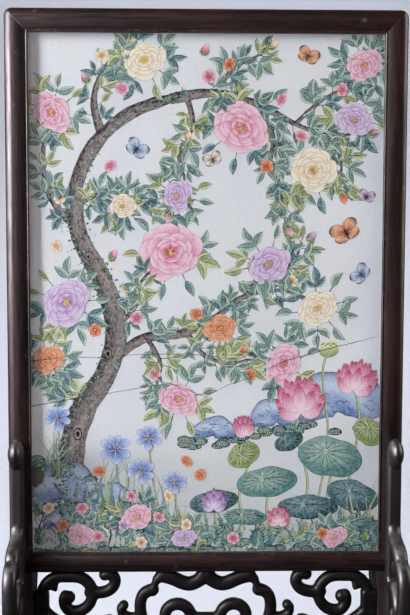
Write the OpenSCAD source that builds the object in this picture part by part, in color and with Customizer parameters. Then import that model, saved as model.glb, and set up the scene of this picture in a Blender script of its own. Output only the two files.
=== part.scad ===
// Table screen: a painted porcelain plaque in a mitred hardwood frame that lifts out of a carved stand.
// Front is -Y, right is +X, up is +Z. The origin is on the table, midway between the feet.

/* [Screen frame] */
// Width of the frame across the stiles
frame_w = 400; // [300:1:520]
// Height of the frame
frame_h = 566; // [400:1:720]
// Thickness of the frame, front to back
frame_t = 24; // [22:0.5:34]
// Width of each stile
stile_w = 23.5; // [20:0.5:36]
// Width of the top rail
top_rail_w = 24; // [20:0.5:36]
// Width of the bottom rail
bottom_rail_w = 20; // [17:0.5:30]
// Radius on the outer front edge of the frame
edge_r = 8; // [4:0.5:9]
// Radius on the lower front edge of the bottom rail
sole_r = 2; // [1:0.5:5]
// Radius of the frame's corners
corner_r = 8; // [3:0.5:8.5]
// Width of the bead around the opening
bead_w = 1.8; // [1:0.1:2.6]
// Height of the crown of the frame's face
crown_h = 2; // [0.6:0.1:2.6]

/* [Plaque and back] */
// Thickness of the lip in front of the plaque
lip_t = 6; // [4:0.5:7]
// Depth of the rabbet behind the lip
rabbet_w = 6; // [5:0.5:7]
// Thickness of the porcelain plaque
plaque_t = 7; // [5:0.5:8]
// Thickness of the backing planks
plank_t = 6; // [5:0.5:6.5]
// Width of each retaining strip
strip_w = 12; // [10:0.5:18]
// Width of each batten
batten_w = 22; // [16:1:34]

/* [Stand] */
// Height of the openwork apron
apron_h = 92; // [76:1:120]
// Thickness of the openwork apron
apron_t = 14; // [11:0.5:16]
// Height of the lower rail
rail_h = 18; // [16:0.5:24]
// Thickness of the lower rail
rail_t = 18; // [16:0.5:20]
// Height of each foot
foot_h = 34; // [30:1:44]
// Length of each foot past the bracket's toe
foot_overhang = 11; // [11:0.5:30]
// Width of each foot past the post on either side
foot_margin = 5; // [3:0.5:10]
// Thickness of each bracket
bracket_t = 14; // [10:0.5:16]
// Height that the brackets reach above the frame's lower edge
clasp_h = 140; // [110:1:190]

/* [Fits] */
// Gap between the frame and each bracket finger
finger_gap = 0.4; // [0.3:0.05:1]
// Gap around a tenon or tongue in its mortise
fit_gap = 0.2; // [0.1:0.05:0.4]
// Gap at the blind end of a tenon
end_gap = 0.5; // [0.3:0.1:1.5]
// Gap between the plaque's edge and the rabbet
edge_gap = 1; // [0.5:0.1:2]
// Gap between the carving and the frame's lower edge
top_gap = 0.6; // [0.4:0.1:1.5]
// Gap around a peg or pin in its hole
peg_gap = 0.05; // [0.03:0.01:0.1]

/* [Hidden] */
$fn = 64;

// Colours of the red hardwood, the dark carved hardwood, the porcelain, the softwood back and the brass
frame_wood = [0.25, 0.10, 0.07];
dark_wood = [0.10, 0.06, 0.05];
back_wood = [0.45, 0.30, 0.18];
porcelain = [0.86, 0.86, 0.85];
brass = [0.70, 0.55, 0.28];

// Overshoot of a cutting solid past the face that it cuts
over = 1;
half_w = frame_w / 2;
half_t = frame_t / 2;

// Heights of the stand's levels
rail_lift = 4;
rail_z = foot_h + rail_lift;
apron_z = rail_z + rail_h;
screen_z = apron_z + apron_h;
screen_top = screen_z + frame_h;

// Opening, rabbet and the layers behind the lip
open_w = frame_w - 2 * stile_w;
open_x = open_w / 2;
open_z0 = screen_z + bottom_rail_w;
open_z1 = screen_top - top_rail_w;
rabbet_x = open_x + rabbet_w;
rabbet_z0 = open_z0 - rabbet_w;
rabbet_z1 = open_z1 + rabbet_w;
plaque_y = -half_t + lip_t;
plank_y = plaque_y + plaque_t;
strip_y = plank_y + plank_t;
panel_x = rabbet_x - edge_gap;
panel_z0 = rabbet_z0 + edge_gap;
panel_z1 = rabbet_z1 - edge_gap;
panel_h = panel_z1 - panel_z0;

// Frame face: quirk beside the bead, and the lap plane of the corners
quirk_w = 0.7;
quirk_d = 0.8;
bead_back = crown_h / 2;
lap_y = 0;
corner_peg_r = 1.5;
corner_peg_in = 6;
corner_peg_x = half_w - stile_w / 2;
corner_peg_dz = 0.245;

// Planks: tongue on the middle plank, and the dovetail housing of the battens
plank_gap = 0.4;
plank_w = (2 * panel_x - 2 * plank_gap) / 3;
tongue_t = 2;
tongue_d = 2.4;
dovetail_d = 2.5;
dovetail_flare = 1.5;
batten_z = [screen_z + 0.27 * frame_h, screen_z + 0.74 * frame_h];
strip_gap = 0.3;
strip_in = rabbet_x - strip_gap;
strip_t = half_t - strip_y;
batten_rib = strip_t - 1;

// Pins in the retaining strips
pin_r = 0.9;
pin_depth = 6;
pin_y = strip_y + strip_t / 2;
pin_rows = [-0.42, -0.14, 0.14, 0.42];
pin_cols = [-0.4, 0, 0.4];

// Posts, tenons and tongues of the stand
post_w = stile_w;
post_x = half_w - post_w / 2;
post_in = half_w - post_w;
apron_y = -2;
tenon_x = 14;
tenon_y = 14;
tenon_z = 20;
apron_tongue_t = 5;
apron_tongue_d = 5;
sill_tongue_d = 4;
rail_tenon_l = 9;
rail_tenon_t = 7;
rail_tenon_h = rail_h - 6;
rail_peg_r = 2;
rail_peg_x = post_in + 3.5;
rail_peg_l = frame_t - 3;
foot_peg_r = 2;
post_peg_z = foot_h - tenon_z * 0.55;

// Locating tongues on top of the apron
drawn_post_in = 176.5;
su = post_in / drawn_post_in;
key_x = 132 * su;
key_w = 20;
key_t = 6;
key_h = 7;
key_root = 9;
key_gap = 0.5;

// Brackets
bracket_x = post_x + 1.2;
finger_t = 15;
head_r = 14;
bracket_tongue_t = 5;
bracket_tongue_d = 5;
bracket_sill = 8;
bracket_reach = 102;
sill_reach = 96;
seat_clear = 2;
tongue_low = 6;
tongue_high = 8;
toe_tenon_t = 6;
toe_tenon_h = 10;
toe_tenon_d = 30;
toe_tenon_l = 36;
toe_peg_z = foot_h - toe_tenon_h / 2;
head_z = screen_z + clasp_h - head_r;

// Feet
foot_l = 2 * (half_t + bracket_reach + foot_overhang);
foot_w = post_w + 2 * foot_margin;
foot_out = half_w + foot_margin;
foot_arch = 8;
foot_pad = 46;
foot_nose = 10;
arch_r = 7;
foot_peg_l = foot_margin + post_w / 2 + tenon_x / 2;

// Points on an arc whose radius runs from r0 to r1 as its angle runs from a0 to a1
function arc_pts(c, r0, r1, a0, a1, n) =
    [for (i = [0 : n])
        let (t = i / n, a = a0 + (a1 - a0) * t, r = r0 + (r1 - r0) * t)
        [c[0] + r * cos(a), c[1] + r * sin(a)]];

// One point of the smooth curve through four neighbours
function spline_at(a, b, c, d, t) =
    0.5 * (2 * b + (c - a) * t + (2 * a - 5 * b + 4 * c - d) * t * t
           + (3 * b - a - 3 * c + d) * t * t * t);

// The smooth curve through a list of points, with n steps between neighbours
function smooth(p, n) =
    let (m = len(p) - 1)
    concat([for (i = [0 : m - 1], k = [0 : n - 1])
        spline_at(p[max(i - 1, 0)], p[i], p[i + 1], p[min(i + 2, m)], k / n)], [p[m]]);

// Unit direction of a path at one of its points
function heading(p, i) =
    let (m = len(p) - 1, d = p[min(i + 1, m)] - p[max(i - 1, 0)])
    d / norm(d);

// A flat band of one width along a path, with round ends
module band(p, w) {
    m = len(p) - 1;
    cap = 6;
    first = heading(p, 0);
    last = heading(p, m);
    a0 = atan2(first[1], first[0]);
    a1 = atan2(last[1], last[0]);
    left = [for (i = [0 : m]) let (h = heading(p, i)) p[i] + [-h[1], h[0]] * w / 2];
    right = [for (i = [m : -1 : 0]) let (h = heading(p, i)) p[i] + [h[1], -h[0]] * w / 2];
    head = [for (k = [1 : cap - 1]) p[m] + [cos(a1 + 90 - 180 * k / cap), sin(a1 + 90 - 180 * k / cap)] * w / 2];
    tail = [for (k = [1 : cap - 1]) p[0] + [cos(a0 - 90 - 180 * k / cap), sin(a0 - 90 - 180 * k / cap)] * w / 2];
    polygon(concat(left, head, right, tail));
}

// A round knob at the end of a scroll
module knob(c, r) {
    translate(c)
        circle(r);
}

// Carved lines of the apron's right half: distance from the middle, then distance below the frame
scroll_w = 10.8;
hook_w = 8.6;
cloud_w = 11;
steps = 5;
line_a = concat([[168.5, 66], [168.5, 44], [168.2, 28]],
                arc_pts([148, 26.5], 20, 19.9, -8, -90, 6),
                arc_pts([132, 23.6], 17, 15.4, -90, -270, 12),
                arc_pts([132, 23.6], 15.2, 10, -284, -352, 5));
line_b = concat([[118, 21], [109, 23.2]], arc_pts([100.5, 12.8], 10.4, 7.8, 90, 282, 12));
cloud_top = [[-3, 6.6], [5, 8.8], [12.5, 12.8], [20.2, 12], [28.4, 8.6], [37.4, 6.5], [45, 8], [50.5, 12.2],
             [55, 16.4], [61.2, 20.8], [65.3, 28.2], [66.4, 38.4], [65, 50], [60, 63], [50, 73.5], [36, 79],
             [21, 77], [11, 69], [10.6, 58]];
line_c = concat(smooth(cloud_top, steps), arc_pts([30.2, 47.2], 15, 9.6, 195, 430, 16));
line_d = [[65, 46], [72, 47.6], [80, 47], [86.4, 42.6], [87.4, 36.5]];
line_f = concat([[169, 46], [161, 53.6], [150, 55.2]], arc_pts([138, 69], 14, 12.6, -84, -270, 12),
                arc_pts([138, 69], 12.4, 8.4, -286, -352, 5));
line_g = concat(smooth([[64, 54], [70.5, 65], [78.5, 71.6]], steps), arc_pts([97, 64], 15.5, 11, 128, -80, 14));
knobs = [[138.4, 22.8, 6], [104.2, 6.4, 4.6], [31.4, 52.2, 6], [84.8, 33.8, 5.4], [143.4, 68.8, 6.4],
         [94.5, 56.5, 6]];
sill_h = 8;
strip_edge = 161;
strip_drop = 22;
drawn_crest = 6.4;
drawn_low = 80;
low_margin = 12;
sv = (apron_h - low_margin - drawn_crest) / (drawn_low - drawn_crest);

// Lines of a bracket: distance in front of the post, then height as drawn for a stand of the drawn size
drawn_screen_z = 148;
drawn_foot_h = 34;
neck = [[7.5, 216], [8, 206], [10.5, 195.5], [17, 187.8], [28, 184.4], [39.6, 182.2], [47.8, 177], [49.2, 168.4],
        [43.6, 162]];
belly = [[46, 171.5], [56, 170.8], [63, 166.6], [67.2, 159], [68.6, 148], [68.4, 136], [65.4, 122], [60, 108],
         [56.4, 94], [57.4, 79], [65, 64], [78, 51.4], [95, 43.4]];
inner_scroll = [[9, 128], [16, 137.5], [28, 141.5], [40, 137], [46.4, 126], [43.6, 114], [34, 108.4]];
low_scroll = [[59.5, 76], [50.5, 68], [39.6, 64], [27.6, 68.4], [22.4, 79], [26, 88.6]];
toe_scroll = [[8, 62], [16.5, 51], [30, 44.6], [42, 46.6]];
neck_w = 14;
belly_w = 14;
inner_w = 11;
bracket_knobs = [[37.6, 165, 8], [29.4, 114.6, 7], [31.2, 88.2, 6.6], [42.4, 51.4, 6.6]];

// Side of the frame member seen end on: distance from the outer edge, then depth
module member_profile(w, r) {
    face_w = w - bead_w - quirk_w;
    crown_r = (face_w * face_w / 4 + crown_h * crown_h) / (2 * crown_h);
    bead_r = bead_w / 2;
    // The outer rounding touches the crown without a crease
    turn_in = face_w / 2 - r;
    turn_y = crown_r - half_t - sqrt((crown_r - r) * (crown_r - r) - turn_in * turn_in);
    turn_x = r - r * turn_in / (crown_r - r);
    difference() {
        union() {
            intersection() {
                translate([0, -half_t])
                    square([w - bead_r, frame_t]);
                translate([face_w / 2, crown_r - half_t])
                    circle(crown_r, $fn = 360);
            }
            translate([0, turn_y])
                square([w - bead_w, half_t - turn_y]);
            translate([w - bead_w, -half_t + bead_back + bead_r])
                square([bead_w, frame_t - bead_back - bead_r]);
            translate([w - bead_r, -half_t + bead_back + bead_r])
                circle(bead_r);
        }
        translate([face_w, -half_t - over])
            square([quirk_w, over + crown_h + quirk_d]);
        translate([w - rabbet_w, plaque_y])
            square([rabbet_w + over, frame_t]);
        difference() {
            translate([-over, -half_t - over])
                square([turn_x + over, turn_y + half_t + over]);
            translate([r, turn_y])
                circle(r);
        }
    }
}

// The frame's outline as one block, with its two lower corners rounded
module frame_outline() {
    translate([0, half_t + over, 0])
        rotate([90, 0, 0])
            linear_extrude(height = frame_t + 2 * over)
                union() {
                    translate([-half_w + corner_r, screen_z])
                        square([frame_w - 2 * corner_r, frame_h]);
                    translate([-half_w, screen_z + corner_r])
                        square([frame_w, frame_h - corner_r]);
                    for (sx = [-1, 1])
                        translate([sx * (half_w - corner_r), screen_z + corner_r])
                            circle(corner_r);
                }
}

// The space of the upper left corner
module corner_zone() {
    translate([-half_w, -half_t, screen_top - corner_r])
        cube([corner_r, frame_t, corner_r]);
}

// The upper left corner, where the member's profile turns around the corner
module corner_turn(w) {
    intersection() {
        corner_zone();
        translate([-half_w + corner_r, 0, screen_top - corner_r])
            rotate([-90, 0, 0])
                rotate_extrude($fn = 180)
                    intersection() {
                        translate([0, -half_t])
                            square([corner_r, frame_t]);
                        translate([corner_r, 0])
                            mirror([1, 0])
                                member_profile(w, edge_r);
                    }
    }
}

// The front half of a member between its two mitres
module mitre_block(pts) {
    translate([0, lap_y, 0])
        rotate([90, 0, 0])
            linear_extrude(height = half_t + over)
                polygon(pts);
}

module stile_blank() {
    intersection() {
        union() {
            difference() {
                translate([-half_w, 0, screen_z])
                    linear_extrude(height = frame_h)
                        member_profile(stile_w, edge_r);
                corner_zone();
            }
            corner_turn(stile_w);
        }
        union() {
            mitre_block([[-half_w, screen_z], [-open_x, open_z0], [-open_x, open_z1], [-half_w, screen_top]]);
            translate([-half_w, lap_y, screen_z])
                cube([stile_w, half_t, frame_h]);
        }
        frame_outline();
    }
}

module top_rail_blank() {
    intersection() {
        union() {
            difference() {
                translate([-half_w, 0, screen_top])
                    rotate([0, 90, 0])
                        linear_extrude(height = frame_w)
                            member_profile(top_rail_w, edge_r);
                corner_zone();
                mirror([1, 0, 0])
                    corner_zone();
            }
            corner_turn(top_rail_w);
            mirror([1, 0, 0])
                corner_turn(top_rail_w);
        }
        union() {
            mitre_block([[-half_w, screen_top], [-open_x, open_z1], [open_x, open_z1], [half_w, screen_top]]);
            translate([-rabbet_x, lap_y, open_z1])
                cube([2 * rabbet_x, half_t, top_rail_w]);
        }
        frame_outline();
    }
}

module bottom_rail_blank() {
    intersection() {
        translate([-half_w, 0, screen_z])
            mirror([0, 0, 1])
                rotate([0, 90, 0])
                    linear_extrude(height = frame_w)
                        member_profile(bottom_rail_w, sole_r);
        union() {
            mitre_block([[-half_w, screen_z], [half_w, screen_z], [open_x, open_z0], [-open_x, open_z0]]);
            translate([-rabbet_x, lap_y, screen_z])
                cube([2 * rabbet_x, half_t, bottom_rail_w]);
        }
        frame_outline();
    }
}

// The four pegs that lock the corners, or their holes
module corner_pegs(gap) {
    for (sx = [-1, 1])
        for (z = [screen_top - corner_peg_dz * top_rail_w, screen_z + corner_peg_dz * bottom_rail_w])
            translate([sx * corner_peg_x, half_t, z])
                rotate([90, 0, 0])
                    cylinder(r = corner_peg_r + gap, h = half_t + corner_peg_in);
}

// The pins of the retaining strips, or their holes
module pins(gap) {
    for (sx = [-1, 1], k = pin_rows)
        translate([sx * (strip_in - strip_w), pin_y, screen_z + frame_h * (k + 0.5)])
            rotate([0, sx * 90, 0])
                cylinder(r = pin_r + gap, h = strip_w + strip_gap + pin_depth);
    for (k = pin_cols) {
        translate([k * open_w, pin_y, rabbet_z1 - strip_gap - strip_w])
            cylinder(r = pin_r + gap, h = strip_w + strip_gap + pin_depth);
        translate([k * open_w, pin_y, rabbet_z0 + strip_gap + strip_w])
            mirror([0, 0, 1])
                cylinder(r = pin_r + gap, h = strip_w + strip_gap + pin_depth);
    }
}

// The locating tongues of the apron, or their mortises
module keys(gap, rise) {
    for (sx = [-1, 1])
        translate([sx * key_x - key_w / 2 - gap, apron_y - key_t / 2 - gap, screen_z - key_root])
            cube([key_w + 2 * gap, key_t + 2 * gap, key_root + rise]);
}

module frame_left_stile() {
    color(frame_wood)
        difference() {
            stile_blank();
            corner_pegs(peg_gap);
            pins(peg_gap);
        }
}

module frame_right_stile() {
    color(frame_wood)
        difference() {
            mirror([1, 0, 0])
                stile_blank();
            corner_pegs(peg_gap);
            pins(peg_gap);
        }
}

module frame_top_rail() {
    color(frame_wood)
        difference() {
            top_rail_blank();
            corner_pegs(peg_gap);
            pins(peg_gap);
        }
}

module frame_bottom_rail() {
    color(frame_wood)
        difference() {
            bottom_rail_blank();
            corner_pegs(peg_gap);
            pins(peg_gap);
            keys(key_gap, key_h + key_gap);
        }
}

module porcelain_plaque() {
    color(porcelain)
        translate([-panel_x, plaque_y, panel_z0])
            cube([2 * panel_x, plaque_t, panel_h]);
}

// The battens' dovetailed feet, or their housings in the planks
module dovetails(gap) {
    for (z = batten_z)
        translate([-panel_x - over * sign(gap), strip_y, z])
            rotate([90, 0, 90])
                linear_extrude(height = 2 * (panel_x + over * sign(gap)))
                    polygon([[gap, -batten_w / 2 - gap],
                             [gap, batten_w / 2 + gap],
                             [-dovetail_d - gap, batten_w / 2 + dovetail_flare + gap],
                             [-dovetail_d - gap, -batten_w / 2 - dovetail_flare - gap]]);
}

// The tongues of the middle plank, or their grooves
module plank_tongues(gap) {
    for (sx = [-1, 1])
        translate([sx * plank_w / 2 - tongue_d - gap, plank_y + plank_t / 4 - gap, panel_z0 - over * sign(gap)])
            cube([2 * (tongue_d + gap), tongue_t + 2 * gap, panel_h + 2 * over * sign(gap)]);
}

module side_plank(sx) {
    color(back_wood)
        difference() {
            translate([sx * (plank_w + plank_gap) - plank_w / 2, plank_y, panel_z0])
                cube([plank_w, plank_t, panel_h]);
            plank_tongues(fit_gap);
            dovetails(fit_gap);
        }
}

module backing_plank_left() {
    side_plank(-1);
}

module backing_plank_right() {
    side_plank(1);
}

module backing_plank_centre() {
    color(back_wood)
        difference() {
            union() {
                translate([-plank_w / 2, plank_y, panel_z0])
                    cube([plank_w, plank_t, panel_h]);
                plank_tongues(0);
            }
            dovetails(fit_gap);
        }
}

module batten(z) {
    rib_l = 2 * (strip_in - strip_w - edge_gap);
    color(back_wood)
        union() {
            intersection() {
                dovetails(0);
                translate([-panel_x, plank_y, z - batten_w])
                    cube([2 * panel_x, plank_t, 2 * batten_w]);
            }
            translate([-rib_l / 2, strip_y, z - batten_w / 2])
                cube([rib_l, batten_rib, batten_w]);
        }
}

module back_batten_lower() {
    batten(batten_z[0]);
}

module back_batten_upper() {
    batten(batten_z[1]);
}

module side_strip(sx) {
    color(back_wood)
        difference() {
            translate([sx * (strip_in - strip_w / 2) - strip_w / 2, strip_y, rabbet_z0 + strip_gap])
                cube([strip_w, strip_t, rabbet_z1 - rabbet_z0 - 2 * strip_gap]);
            pins(peg_gap);
        }
}

module retaining_strip_left() {
    side_strip(-1);
}

module retaining_strip_right() {
    side_strip(1);
}

module end_strip(z) {
    strip_l = 2 * (strip_in - strip_w - strip_gap);
    color(back_wood)
        difference() {
            translate([-strip_l / 2, strip_y, z])
                cube([strip_l, strip_t, strip_w]);
            pins(peg_gap);
        }
}

module retaining_strip_top() {
    end_strip(rabbet_z1 - strip_gap - strip_w);
}

module retaining_strip_bottom() {
    end_strip(rabbet_z0 + strip_gap);
}

module strip_pins() {
    color(brass)
        pins(0);
}

module frame_corner_pegs() {
    color(dark_wood)
        corner_pegs(0);
}

// A drawn point of the apron, moved to the stand's own size, with height measured from the frame down
function apron_pt(q) = [q[0] * su, -(drawn_crest + (q[1] - drawn_crest) * sv)];
function apron_line(p) = [for (q = p) apron_pt(q)];

// Half of the apron's carving
module half_scrolls() {
    band(apron_line(line_a), scroll_w);
    band(apron_line(line_b), hook_w);
    band(apron_line(line_c), cloud_w);
    band(apron_line(smooth(line_d, steps)), hook_w);
    band(apron_line(line_f), scroll_w);
    band(apron_line(line_g), scroll_w);
    for (k = knobs)
        knob(apron_pt(k), k[2]);
    translate([strip_edge * su, -apron_h])
        square([post_in - strip_edge * su, apron_h - strip_drop]);
}

// The apron's carved board seen from the front
module apron_outline() {
    half_scrolls();
    mirror([1, 0, 0])
        half_scrolls();
    translate([-post_in, -apron_h])
        square([2 * post_in, sill_h]);
}

// The tongues at the apron's two ends, or their grooves in the posts
module apron_tongues(gap) {
    for (sx = [-1, 1])
        translate([sx * post_in - apron_tongue_d - gap, apron_y - apron_tongue_t / 2 - gap, apron_z + seat_clear - gap])
            cube([2 * (apron_tongue_d + gap), apron_tongue_t + 2 * gap,
                  apron_h - strip_drop - seat_clear + 2 * gap]);
}

// The tongue under the apron, or its groove in the lower rail
module sill_tongue(gap, drop) {
    translate([-post_in + edge_gap - gap, apron_y - apron_tongue_t / 2 - gap, apron_z - drop])
        cube([2 * (post_in - edge_gap + gap), apron_tongue_t + 2 * gap, drop + over]);
}

module openwork_apron() {
    color(dark_wood)
        union() {
            translate([0, apron_y + apron_t / 2, screen_z])
                rotate([90, 0, 0])
                    linear_extrude(height = apron_t)
                        apron_outline();
            apron_tongues(0);
            sill_tongue(0, sill_tongue_d);
            keys(0, key_h);
        }
}

// The tenons of the lower rail, or their mortises in the posts
module rail_tenons(gap, reach) {
    for (sx = [-1, 1])
        translate([sx * post_in - reach, apron_y - rail_tenon_t / 2 - gap, rail_z + (rail_h - rail_tenon_h) / 2 - gap])
            cube([2 * reach, rail_tenon_t + 2 * gap, rail_tenon_h + 2 * gap]);
}

// The pegs through the posts into the lower rail, or their holes
module rail_peg_rods(gap) {
    for (sx = [-1, 1])
        translate([sx * rail_peg_x, half_t, rail_z + rail_h / 2])
            rotate([90, 0, 0])
                cylinder(r = rail_peg_r + gap, h = rail_peg_l);
}

// The pegs through the feet into the posts and brackets, or their holes
module foot_peg_rods(gap) {
    toe_y = half_t + toe_tenon_d + toe_tenon_l / 2;
    for (sx = [-1, 1]) {
        translate([sx * foot_out, 0, post_peg_z])
            rotate([0, -sx * 90, 0])
                cylinder(r = foot_peg_r + gap, h = foot_peg_l);
        for (y = [-toe_y, toe_y])
            translate([sx * foot_out, y, toe_peg_z])
                rotate([0, -sx * 90, 0])
                    cylinder(r = foot_peg_r + gap, h = foot_peg_l);
    }
}

module lower_rail() {
    color(dark_wood)
        difference() {
            union() {
                translate([-post_in, apron_y - rail_t / 2, rail_z])
                    cube([2 * post_in, rail_t, rail_h]);
                rail_tenons(0, rail_tenon_l);
            }
            sill_tongue(fit_gap, sill_tongue_d + end_gap);
            rail_peg_rods(peg_gap);
        }
}

module rail_pegs() {
    color(dark_wood)
        rail_peg_rods(0);
}

module foot_pegs() {
    color(dark_wood)
        foot_peg_rods(0);
}

// The tenons under the posts, or their mortises in the feet
module post_tenons(gap, drop) {
    for (sx = [-1, 1])
        translate([sx * post_x - tenon_x / 2 - gap, -tenon_y / 2 - gap, foot_h - drop])
            cube([tenon_x + 2 * gap, tenon_y + 2 * gap, drop + over]);
}

// The tongues of the four brackets, or their grooves in the posts
module bracket_tongues(gap, reach) {
    for (sx = [-1, 1], sy = [-1, 1])
        translate([sx * bracket_x - bracket_tongue_t / 2 - gap, sy * half_t - reach, foot_h + tongue_low - gap])
            cube([bracket_tongue_t + 2 * gap, 2 * reach,
                  screen_z - tongue_high - foot_h - tongue_low + 2 * gap]);
}

// The tenons under the four brackets, or their mortises in the feet
module toe_tenons(gap, drop) {
    for (sx = [-1, 1], sy = [-1, 1])
        translate([sx * bracket_x - toe_tenon_t / 2 - gap,
                   sy * (half_t + toe_tenon_d + toe_tenon_l / 2) - toe_tenon_l / 2 - gap, foot_h - drop])
            cube([toe_tenon_t + 2 * gap, toe_tenon_l + 2 * gap, drop + over]);
}

// Room around one quarter of the stand, to keep one piece out of a set of four
module quarter(sx, sy) {
    translate([sx > 0 ? 0 : -foot_out, sy > 0 ? 0 : -foot_l / 2, 0])
        cube([foot_out, foot_l / 2, screen_top]);
}

module post(sx) {
    color(frame_wood)
        difference() {
            union() {
                translate([sx * post_x - post_w / 2, -half_t, foot_h])
                    cube([post_w, frame_t, screen_z - foot_h]);
                translate([sx * post_x - tenon_x / 2, -tenon_y / 2, foot_h - tenon_z])
                    cube([tenon_x, tenon_y, tenon_z + over]);
            }
            apron_tongues(fit_gap);
            rail_tenons(fit_gap, rail_tenon_l + end_gap);
            rail_peg_rods(peg_gap);
            bracket_tongues(fit_gap, bracket_tongue_d + end_gap);
            foot_peg_rods(peg_gap);
        }
}

module left_post() {
    post(-1);
}

module right_post() {
    post(1);
}

// Side of a foot: rounded at both ends, arched between two pads
module foot_outline() {
    difference() {
        union() {
            translate([-foot_l / 2, 0])
                square([foot_l, foot_h - foot_nose]);
            translate([-foot_l / 2 + foot_nose, 0])
                square([foot_l - 2 * foot_nose, foot_h]);
            for (sy = [-1, 1])
                translate([sy * (foot_l / 2 - foot_nose), foot_h - foot_nose])
                    circle(foot_nose);
        }
        translate([-foot_l / 2 + foot_pad, -over])
            square([foot_l - 2 * foot_pad, over + foot_arch - arch_r]);
        translate([-foot_l / 2 + foot_pad + arch_r, -over])
            square([foot_l - 2 * foot_pad - 2 * arch_r, over + foot_arch]);
        for (sy = [-1, 1])
            translate([sy * (foot_l / 2 - foot_pad - arch_r), foot_arch - arch_r])
                circle(arch_r);
    }
}

module foot(sx) {
    color(dark_wood)
        difference() {
            translate([sx * post_x - foot_w / 2, 0, 0])
                rotate([90, 0, 90])
                    linear_extrude(height = foot_w)
                        foot_outline();
            post_tenons(fit_gap, tenon_z + end_gap);
            toe_tenons(fit_gap, toe_tenon_h + end_gap);
            foot_peg_rods(peg_gap);
        }
}

module left_foot() {
    foot(-1);
}

module right_foot() {
    foot(1);
}

// A drawn point of a bracket, moved to the stand's own heights
function bracket_pt(q) =
    [q[0], q[1] > drawn_screen_z
        ? screen_z + q[1] - drawn_screen_z
        : foot_h + (q[1] - drawn_foot_h) * (screen_z - foot_h) / (drawn_screen_z - drawn_foot_h)];
function bracket_line(p) = [for (q = smooth(p, steps)) bracket_pt(q)];

// Side of a bracket: distance in front of the post, then height
module bracket_outline() {
    translate([finger_gap, screen_z - seat_clear - over])
        square([finger_t, head_z - screen_z + seat_clear + over]);
    translate([0, foot_h])
        square([finger_t + finger_gap, screen_z - seat_clear - foot_h]);
    translate([finger_gap + head_r, head_z])
        circle(head_r);
    translate([0, foot_h])
        square([sill_reach, bracket_sill]);
    band(bracket_line(neck), neck_w);
    band(bracket_line(belly), belly_w);
    band(bracket_line(inner_scroll), inner_w);
    band(bracket_line(low_scroll), inner_w);
    band(bracket_line(toe_scroll), inner_w);
    for (k = bracket_knobs)
        knob(bracket_pt(k), k[2]);
}

module front_board() {
    translate([0, -half_t, 0])
        rotate([90, 0, -90])
            linear_extrude(height = bracket_t, center = true)
                bracket_outline();
}

module bracket(sx, sy) {
    color(dark_wood)
        difference() {
            union() {
                translate([sx * bracket_x, 0, 0])
                    mirror([0, sy > 0 ? 1 : 0, 0])
                        front_board();
                intersection() {
                    union() {
                        bracket_tongues(0, bracket_tongue_d);
                        toe_tenons(0, toe_tenon_h);
                    }
                    quarter(sx, sy);
                }
            }
            foot_peg_rods(peg_gap);
        }
}

module left_front_bracket() {
    bracket(-1, -1);
}

module left_rear_bracket() {
    bracket(-1, 1);
}

module right_front_bracket() {
    bracket(1, -1);
}

module right_rear_bracket() {
    bracket(1, 1);
}

frame_top_rail();
frame_bottom_rail();
frame_left_stile();
frame_right_stile();
porcelain_plaque();
backing_plank_left();
backing_plank_centre();
backing_plank_right();
back_batten_upper();
back_batten_lower();
retaining_strip_top();
retaining_strip_bottom();
retaining_strip_left();
retaining_strip_right();
strip_pins();
frame_corner_pegs();
left_post();
right_post();
left_foot();
right_foot();
left_front_bracket();
left_rear_bracket();
right_front_bracket();
right_rear_bracket();
openwork_apron();
lower_rail();
rail_pegs();
foot_pegs();
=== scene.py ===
# %% [markdown]
# # A table screen, dressed in Blender
# A table screen is a framed picture that stands in a carved wooden stand. This lesson starts from
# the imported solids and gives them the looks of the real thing: polished wood, carved scrolls and a
# glazed porcelain plaque with painted enamels. The solids give the sizes, so the dressed pieces fit.

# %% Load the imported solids
import math
import random
import bmesh
import bpy
from mathutils import Matrix, Vector


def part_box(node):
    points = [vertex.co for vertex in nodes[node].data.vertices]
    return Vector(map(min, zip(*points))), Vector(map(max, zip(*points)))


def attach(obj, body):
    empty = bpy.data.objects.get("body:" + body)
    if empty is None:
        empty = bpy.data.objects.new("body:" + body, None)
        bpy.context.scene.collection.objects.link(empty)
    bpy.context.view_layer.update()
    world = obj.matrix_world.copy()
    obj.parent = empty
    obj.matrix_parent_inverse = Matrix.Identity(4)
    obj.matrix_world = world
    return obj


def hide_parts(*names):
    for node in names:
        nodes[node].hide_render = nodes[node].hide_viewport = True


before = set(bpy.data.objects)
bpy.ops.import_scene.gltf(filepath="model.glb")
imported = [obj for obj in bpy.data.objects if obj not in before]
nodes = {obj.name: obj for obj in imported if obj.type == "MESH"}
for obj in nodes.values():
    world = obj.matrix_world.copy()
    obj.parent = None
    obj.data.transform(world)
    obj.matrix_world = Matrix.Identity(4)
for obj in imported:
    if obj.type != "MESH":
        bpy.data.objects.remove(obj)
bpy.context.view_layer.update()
scene = bpy.context.scene
MM = 0.001

# %% [markdown]
# ## Camera
# The photograph was taken from slightly left of the middle, at two thirds of the screen's height, with a
# longer lens. A camera can be placed with a constraint or by its matrix. The matrix is chosen, because
# the photograph's pitch, yaw and roll were measured from the frame's corners and go straight into it.

# %% Camera at the photograph's place
CAMERA_AT = Vector((-27.9, -1108.74, 508.3)) * MM
PITCH, YAW, ROLL = math.radians(4.639), math.radians(1.376), math.radians(0.14)
LENS, SENSOR = 64.39, 36.0

ahead = Vector((math.sin(YAW) * math.cos(PITCH), math.cos(YAW) * math.cos(PITCH), -math.sin(PITCH)))
level = Vector((math.cos(YAW), -math.sin(YAW), 0))
above = level.cross(ahead)
across = level * math.cos(ROLL) + above * math.sin(ROLL)
upward = above * math.cos(ROLL) - level * math.sin(ROLL)

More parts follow.
